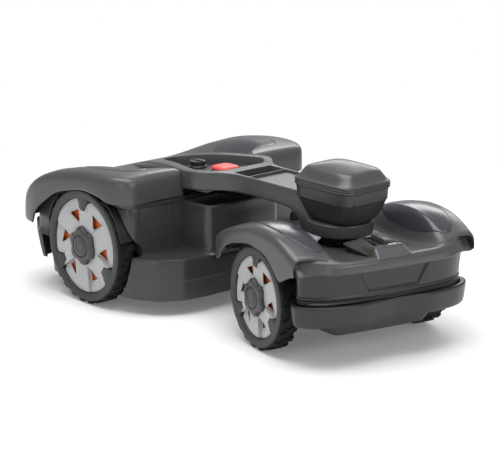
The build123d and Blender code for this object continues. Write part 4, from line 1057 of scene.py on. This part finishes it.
def build_front_bumper():
    mount = (MAIN, "front_bumper")
    rail = bumper_rail(
        "bumper_front",
        [(196, 231), (209, 232), (222, 222), (231, 196), (234.5, 150), (235, 80), (235, 0)],
        60.0,
        [(5, 139.6), (1.5, 139.4), (0.3, 137.5), (0, 132), (0.8, 112), (6, 80), (11, 56),
         (13, 51.5), (15.5, 50.6), (17.5, 52.5), (16, 60), (11, 84), (6, 114), (5, 130)],
        DARK, mount)
    bumper_pins("front_pin", [(0, 0), (4, 0), (4, 32), (8, 34), (8, 40), (0, 40)],
                190, 120, 100, mount)
    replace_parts(rail, "front_bumper")


# ------------------------------------------------------------------ wheels


class Wheel(NamedTuple):
    rim_r: float            # outer radius of the trim
    tyre_r: float
    lugs: int               # lug pitches round the tread
    claw_scale: float
    knob_r: float
    y: float                # outer sidewall plane, from the middle
    z: float                # axle height
    frame: Matrix


FRONT_WHEEL = Wheel(101.5, 122.5, 26, 1.0, 41.5, 264, FRONT_AXLE_Z, MAIN)
REAR_WHEEL = Wheel(81.8, 102.8, 22, 0.82, 41.5 * 0.93, 199, REAR_AXLE_Z, REAR)
CLAW_ANGLES = (90.0, 210.0, 330.0)
CREASE_START = 0.44         # where the trim's creases leave the hub, as a share of rim_r
TRIM_BACK = -15.5


def wheel_frame(wheel, side):
    """Wheel frame: origin on the axle in the outer sidewall plane, +z outward, +y up."""
    return wheel.frame @ Matrix(((-side, 0, 0, 0), (0, 0, side, side * wheel.y),
                                 (0, 1, 0, wheel.z), (0, 0, 0, 1)))


def notch_depth(angle, wheel):
    """How far the tyre's claws reach into the trim at an angle in degrees."""
    outer, inner, depth = (size * wheel.claw_scale for size in (20.0, 8.0, 25.0))
    best = 0.0
    for centre in CLAW_ANGLES:
        off = (angle - centre + 180) % 360 - 180
        s = abs(radians(off)) * (wheel.rim_r - depth / 2)
        if s < inner:
            best = max(best, depth)
        elif s < outer:
            best = max(best, depth * (1 - (s - inner) / (outer - inner)))
    return best


def crease(rim_r, end_angle):
    """Radii and angles along a straight crease from the hub to beyond the rim."""
    start = np.array([CREASE_START * rim_r, 0.0])
    end = 1.04 * rim_r * np.array([cos(radians(end_angle)), sin(radians(end_angle))])
    points = start + np.linspace(0, 1, 200)[:, None] * (end - start)
    radii = np.hypot(points[:, 0], points[:, 1])
    return radii, np.degrees(np.arctan2(points[:, 1], points[:, 0]))


def build_trim(tag, wheel, mount):
    """Six flat petals and six sloping valleys like a pinwheel, a window in each valley."""
    rim_r = wheel.rim_r
    edge_r = rim_r - 0.8
    far_crease, near_crease = crease(rim_r, 35.0), crease(rim_r, -6.0)
    # radial columns of one sixth: the lip above a valley, the valley's facet, the petal
    columns = [("lip", 0.0)] + [("facet", i / 10) for i in range(11)]
    columns += [("petal", (i + 1) / 25) for i in range(24)]

    def column_angle(sixth, kind, u, r):
        start = 45.0 + 60.0 * sixth
        near = float(np.interp(r, *near_crease))
        far = float(np.interp(r, *far_crease))
        wall = degrees(0.9 / r) if r > CREASE_START * rim_r else 0
        if kind == "lip":
            return start + near - wall
        if kind == "facet":
            return start + near + (far - near) * u
        return start + far + (60.0 + near - wall - far) * u

    def column_z(kind, u, r):
        f = r / rim_r
        top = -3.2 - 1.8 * smooth01((f - 0.92) / 0.08) - 1.6 * smooth01((0.42 - f) / 0.06)
        if kind != "facet":
            return top
        depth = float(np.interp(f, [CREASE_START, 0.52, 0.66, 0.80, 1.0],
                                [0.0, 7.5, 9.5, 8.0, 3.2]))
        return top - depth * (1.0 - u)

    shares = [0.30, 0.36, 0.40, 0.42, 0.44, 0.46, 0.49, 0.52, 0.56, 0.60, 0.64, 0.68, 0.72,
              0.76, 0.80, 0.84, 0.88, 0.91, 0.94, 0.965, 0.985, 1.0]
    verts = []
    for sixth in range(6):
        for kind, u in columns:
            for share in shares:
                r = share * edge_r
                # the column's angle depends on the radius, so the notch is found in two passes
                for _ in range(2):
                    angle = column_angle(sixth, kind, u, r)
                    r = min(r, edge_r - notch_depth(angle, wheel))
                t = radians(column_angle(sixth, kind, u, r))
                verts.append((r * cos(t), r * sin(t), column_z(kind, u, r)))
    m, turns = len(shares), 6 * len(columns)
    faces = turned_faces(turns, m, closed=False)
    # rim turned back from the outer edge
    b = len(verts)
    for x, y, _ in verts[m - 1::m]:
        verts += [(x, y, TRIM_BACK), (x * 0.97, y * 0.97, TRIM_BACK)]
    for i in range(turns):
        j = (i + 1) % turns
        faces.append((i * m + m - 1, j * m + m - 1, b + 2 * j, b + 2 * i))
        faces.append((b + 2 * i, b + 2 * j, b + 2 * j + 1, b + 2 * i + 1))
    trim = mesh_object(f"{tag}_trim_facets", verts, faces, TRIM, mount, 20)
    thick = trim.modifiers.new("thick", "SOLIDIFY")
    thick.thickness = 0.0014
    thick.offset = -1
    bake_modifiers(trim)

    windows = []
    for sixth in range(6):
        start = 60.0 * sixth + 45.0
        corners = [(0.50 * rim_r, start + 5.5), (0.765 * rim_r, start - 1.6),
                   (0.775 * rim_r, start + 21.5), (0.655 * rim_r, start + 17.0)]
        outline = round_poly([(r * cos(radians(t)), r * sin(radians(t))) for r, t in corners],
                             2.4 * (rim_r / FRONT_WHEEL.rim_r), 4)
        windows.append(prism(mount[0], at(outline, -17), at(outline, 2)))
    cut(trim, windows)
    return trim


def build_tyre(tag, wheel, mount):
    rim_r, tyre_r = wheel.rim_r, wheel.tyre_r
    lathe(f"{tag}_sidewall", [
        (rim_r + 0.2, -17.0), (rim_r + 0.2, -5.2), (rim_r + 0.9, -3.6), (rim_r + 2.4, -2.4),
        (rim_r + 8, -1.2), (tyre_r - 8, -0.6), (tyre_r - 5, -0.7), (tyre_r - 3.4, -1.6),
        (tyre_r - 2.6, -3.2), (tyre_r - 6, -10), (rim_r + 4, -17)],
        SIDEWALL, mount, n=144, smooth=40)
    return lathe(f"{tag}_tread", [
        (tyre_r - 2.8, -2.6), (tyre_r - 0.9, -4.2), (tyre_r, -7.0), (tyre_r + 0.3, -22),
        (tyre_r, -37), (tyre_r - 0.9, -39.8), (tyre_r - 2.6, -40.8), (tyre_r - 3.4, -42.4),
        (tyre_r - 6, -43.4), (rim_r + 2, -43.4), (rim_r - 3, -41), (rim_r - 3, -20),
        (tyre_r - 8, -8)], TREAD, mount, n=144)


def build_claws(tag, wheel, mount):
    """Three wedges of the sidewall that reach into the trim's notches."""
    rim_r = wheel.rim_r
    outer, inner, depth = (size * wheel.claw_scale for size in (19.4, 7.7, 24.4))
    half = [(rim_r + 3, outer), (rim_r - 0.5, outer), (rim_r - depth + 1.5, inner + 0.3),
            (rim_r - depth, inner - 1.4)]
    outline = half + [(r, -s) for r, s in reversed(half)]       # (radius, sideways)
    levels = ((-16.5, 0.0), (-4.4, 0.0), (-2.9, 0.5), (-2.3, 1.6))  # (z, inset)
    n = len(outline)
    verts, faces = [], []
    for centre in CLAW_ANGLES:
        b = len(verts)
        for z, shrink in levels:
            for r, s in outline:
                r2 = r + (shrink if r < rim_r - 5 else 0)
                s2 = math.copysign(max(abs(s) - shrink, 0.5), s)
                a = radians(centre) + math.atan2(s2, r2)
                reach = math.hypot(r2, s2)
                verts.append((reach * cos(a), reach * sin(a), z))
        faces += [tuple(b + v for v in f) for f in grid_faces(len(levels), n, closed_cols=True)]
        faces.append(tuple(b + 3 * n + i for i in range(n)))
    mesh_object(f"{tag}_claws", verts, faces, SIDEWALL, mount, 30)


# Lugs of one pitch: (offset, start, end) in pitches, inner and outer z, skew in radians
LUG_BLOCKS = [
    (0.0, -0.24, 0.24, -14.5, -4.2, 0.02),
    (0.0, -0.16, 0.34, -25.5, -13.0, 0.05),
    (0.5, -0.24, 0.24, -41.6, -29.5, -0.02),
    (0.5, -0.34, 0.16, -31.0, -18.5, -0.05),
]


def build_lugs(tag, wheel, mount):
    """Tapered tread blocks, staggered by half a pitch between the two halves."""
    pitch = 2 * pi / wheel.lugs
    verts, faces = [], []
    for i in range(wheel.lugs):
        for offset, start, end, z0, z1, skew in LUG_BLOCKS:
            at_angle = pitch * i + pitch * offset
            a0, a1 = at_angle + pitch * start, at_angle + pitch * end
            middle, middle_z = (a0 + a1) / 2, (z0 + z1) / 2
            b = len(verts)
            for r, taper in ((wheel.tyre_r - 4, 0.0), (wheel.tyre_r + 3.4, 0.12)):
                for z_end in (z0, z1):
                    for a_end in (a0, a1):
                        a = middle + (a_end - middle) * (1 - taper) + skew * (z_end + 22) / 44
                        z = middle_z + (z_end - middle_z) * (1 - taper * 0.8)
                        verts.append((r * cos(a), r * sin(a), z))
            faces += [tuple(b + v for v in f) for f in BOX_FACES]
    mesh_object(f"{tag}_lugs", verts, faces, TREAD, mount, 30)


def build_knob(tag, wheel, mount):
    """Six-lobed hub knob with a round raised centre and a plain ring."""
    # rings of (share of the radius, z)
    lobed = [(0.90, -12.0), (0.99, -9.5), (1.0, -4.0), (1.0, 0.2), (0.975, 2.8), (0.93, 4.6),
             (0.86, 5.7), (0.76, 6.1), (0.66, 6.2)]
    plain = [(0.60, 6.2), (0.585, 4.4), (0.55, 4.2), (0.53, 6.3), (0.50, 7.3), (0.40, 7.8),
             (0.2, 8.0), (0.03, 8.0)]
    turns, knob_r = 120, wheel.knob_r
    loops = []
    for rings, dent in ((lobed, 0.155), (plain, 0.0)):
        for share, z in rings:
            loop = []
            for i in range(turns):
                t = 2 * pi * i / turns
                wave = (0.5 + 0.5 * cos(6 * t)) ** 1.4
                f = 1.0 - dent * wave * smooth01((share - 0.55) / 0.4)
                r = knob_r * share * f
                loop.append((r * cos(t + 0.15), r * sin(t + 0.15), z))
            loops.append(loop)
    knob = loft(f"{tag}_knob_lobes", loops, KNOB, mount, cap=(False, True), smooth=34)
    lathe(f"{tag}_knob_ring", [(knob_r * 0.30, 7.6), (knob_r * 0.30, 8.6),
                               (knob_r * 0.335, 8.6), (knob_r * 0.335, 7.6)],
          KNOB, mount, n=64)
    return knob


def build_wheel(tag, wheel, side):
    mount = (wheel_frame(wheel, side), f"{tag}_wheel")
    rim_r = wheel.rim_r
    trim = build_trim(tag, wheel, mount)
    # dish behind the windows
    rim = lathe(f"{tag}_rim_dish", [
        (14, -19), (30, -17.4), (rim_r * 0.44, -16.2), (rim_r * 0.88, -15.8),
        (rim_r * 0.96, -17.4), (rim_r * 0.985, -17.4), (rim_r * 0.985, -30),
        (rim_r * 0.93, -34), (rim_r * 0.3, -30), (14, -30)], RIM, mount, n=72)
    tread = build_tyre(tag, wheel, mount)
    build_claws(tag, wheel, mount)
    build_lugs(tag, wheel, mount)
    knob = build_knob(tag, wheel, mount)
    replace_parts(trim, f"{tag}_trim")
    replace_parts(rim, f"{tag}_rim")
    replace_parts(tread, f"{tag}_tyre")
    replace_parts(knob, f"{tag}_knob")


# ------------------------------------------------------------------ build, in object order

build_main_cover()
front_wells = wheel_wells()
build_lower_walls(front_wells)
build_blade_skirt(front_wells)
build_chamber_and_well_walls()
build_bay_floor()
build_tower()
build_flap_seams()
build_arm()
build_positioning_module()
build_rear_cover()
build_centre_block()
build_rear_panel()
build_rear_bumper()
build_rear_chassis()
build_stop_button()
build_collar()
build_turret()
build_front_bumper()
for end, wheel_size in (("front", FRONT_WHEEL), ("rear", REAR_WHEEL)):
    for wheel_side, hand_name in SIDES:
        build_wheel(f"{end}_{hand_name}", wheel_size, wheel_side)

# ------------------------------------------------------------------ finishes of the CAD pieces

CAD_FINISHES = {
    "dark_metal": ["arm_spine"],
    "steel": ["swivel_bearings", "roll_shaft", "height_screw", "height_frame", "cutting_disc",
              "blade_1", "blade_2", "blade_3"],
    "alloy": ["swivel_yoke", "front_hub_motors", "rear_hub_motors", "blade_motor",
              "height_motor"],
    "black": ["wheel_liners", "arm_cable", "cutting_carriage", "skid_plate", "power_knob"],
    "dark_b": ["lower_body", "rear_chassis", "console_plate", "front_bumper", "rear_bumper"],
    "cover_b": ["main_cover", "rear_cover", "arm_shell", "arm_plate", "centre_block"],
    "module": ["antenna_housing", "antenna_hat"],
    "gloss": ["display_lens", "fender_inserts", "rear_inserts"],
    "lamp": ["nose_lamps"],
    "red": ["stop_button"],
    "brass": ["charging_contacts"],
    "battery": ["battery"],
    "board": ["main_board", "rear_board", "antenna_board"],
    "rubber": ["collar"],
}
for corner_name in ("front_left", "front_right", "rear_left", "rear_right"):
    for part, key in (("tyre", "rubber"), ("rim", "orange"), ("trim", "trim"), ("knob", "knob")):
        CAD_FINISHES.setdefault(key, []).append(f"{corner_name}_{part}")
for key, names in CAD_FINISHES.items():
    for node_name in names:
        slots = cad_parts[node_name].data.materials
        slots.clear()
        slots.append(MAT[key])

# ------------------------------------------------------------------ stage


def floor_material():
    """Matt white that runs out into plain white for the camera away from the machine."""
    material = bpy.data.materials.new("studio_white")
    material.use_nodes = True
    nodes, links = material.node_tree.nodes, material.node_tree.links
    principled = nodes["Principled BSDF"]
    noise = nodes.new("ShaderNodeTexNoise")
    noise.inputs["Scale"].default_value = 1.5
    ramp = nodes.new("ShaderNodeValToRGB")
    ramp.color_ramp.elements[0].color = (0.90, 0.90, 0.90, 1)
    ramp.color_ramp.elements[1].color = (0.93, 0.93, 0.93, 1)
    links.new(noise.outputs["Fac"], ramp.inputs["Fac"])
    links.new(ramp.outputs["Color"], principled.inputs["Base Color"])
    principled.inputs["Roughness"].default_value = 0.85
    principled.inputs["Specular IOR Level"].default_value = 0.1

    position = nodes.new("ShaderNodeNewGeometry")
    distance = nodes.new("ShaderNodeVectorMath")
    distance.operation = "LENGTH"
    # share of plain white: 0.12 up to 0.6 m from the origin, all of it from 1.7 m
    fade = nodes.new("ShaderNodeMapRange")
    fade.interpolation_type = "SMOOTHSTEP"
    fade.inputs["From Min"].default_value = 0.60
    fade.inputs["To Min"].default_value = 0.12
    fade.inputs["From Max"].default_value = 1.7
    ray = nodes.new("ShaderNodeLightPath")
    seen_fade = nodes.new("ShaderNodeMath")
    seen_fade.operation = "MULTIPLY"
    glow = nodes.new("ShaderNodeEmission")
    glow.inputs["Color"].default_value = (1, 1, 1, 1)
    glow.inputs["Strength"].default_value = 1.0
    mix = nodes.new("ShaderNodeMixShader")
    links.new(position.outputs["Position"], distance.inputs[0])
    links.new(distance.outputs["Value"], fade.inputs["Value"])
    links.new(fade.outputs["Result"], seen_fade.inputs[0])
    links.new(ray.outputs["Is Camera Ray"], seen_fade.inputs[1])
    links.new(seen_fade.outputs["Value"], mix.inputs[0])
    links.new(principled.outputs["BSDF"], mix.inputs[1])
    links.new(glow.outputs["Emission"], mix.inputs[2])
    links.new(mix.outputs["Shader"], nodes["Material Output"].inputs["Surface"])
    return material


def build_floor(half=12):
    mesh = bpy.data.meshes.new("studio_floor")
    corners = [(-half, -half), (half, -half), (half, half), (-half, half)]
    mesh.from_pydata(at(corners, 0), [], [(0, 1, 2, 3)])
    mesh.materials.append(floor_material())
    obj = bpy.data.objects.new("studio_floor", mesh)
    bpy.context.scene.collection.objects.link(obj)
    return obj


def area_light(name, location, target, size, power):
    """Rectangular white light aimed at a target; sizes in metres, power in watts."""
    data = bpy.data.lights.new(name, "AREA")
    data.shape = "RECTANGLE"
    data.size, data.size_y = size
    data.energy = power
    data.color = (1, 1, 1)
    light = bpy.data.objects.new(name, data)
    light.location = location
    aim = (Vector(target) - Vector(location)).normalized()
    light.rotation_euler = aim.to_track_quat("-Z", "Y").to_euler()
    bpy.context.scene.collection.objects.link(light)
    return light


def set_world(scene, strength=0.42, seen_strength=1.0):
    """White surroundings, brighter to the camera than as a light."""
    # the loaded scene may or may not bring a world and a background node
    world = bpy.data.worlds.new("studio") if scene.world is None else scene.world
    scene.world = world
    world.use_nodes = True
    nodes, links = world.node_tree.nodes, world.node_tree.links
    background = nodes.get("Background") or nodes.new("ShaderNodeBackground")
    background.inputs["Color"].default_value = (1.0, 1.0, 1.0, 1)
    ray = nodes.new("ShaderNodeLightPath")
    mix = nodes.new("ShaderNodeMix")
    mix.data_type = "FLOAT"
    mix.inputs[2].default_value = strength
    mix.inputs[3].default_value = seen_strength
    links.new(ray.outputs["Is Camera Ray"], mix.inputs[0])
    links.new(mix.outputs[0], background.inputs["Strength"])


def build_camera(scene, location, pitch_down, heading, lens):
    """Level camera; angles in radians, heading counted from +X towards +Y."""
    data = bpy.data.cameras.new("main_camera")
    data.sensor_width = 36.0
    data.lens = lens
    camera = bpy.data.objects.new("main_camera", data)
    forward = Vector((cos(heading) * cos(pitch_down), sin(heading) * cos(pitch_down),
                      -sin(pitch_down)))
    right = Vector((sin(heading), -cos(heading), 0.0))
    up = right.cross(forward)
    rows = [(right[i], up[i], -forward[i], location[i]) for i in range(3)]
    camera.matrix_world = Matrix((*rows, (0, 0, 0, 1)))
    scene.collection.objects.link(camera)
    scene.camera = camera


scene = bpy.context.scene
floor = build_floor()
lights = [
    area_light("key_top", location=(-0.1, 0.35, 2.4), target=(0, 0.05, 0.1),
               size=(2.6, 1.8), power=70),
    area_light("fill_left", location=(-0.9, 2.7, 0.8), target=(-0.05, 0.1, 0.15),
               size=(0.9, 0.9), power=6),
    area_light("fill_rear", location=(-2.7, 0.1, 1.25), target=(-0.1, 0, 0.2),
               size=(1.5, 0.9), power=15),
    area_light("rim_far", location=(1.2, -2.0, 1.5), target=(0, 0, 0.2),
               size=(2.0, 0.7), power=20),
]
scene.view_settings.view_transform = "Standard"
scene.view_settings.look = "None"
set_world(scene)
build_camera(scene, location=(-2.71428, 2.424, 1.153), pitch_down=radians(15.06),
             heading=radians(-41.65), lens=129.6)
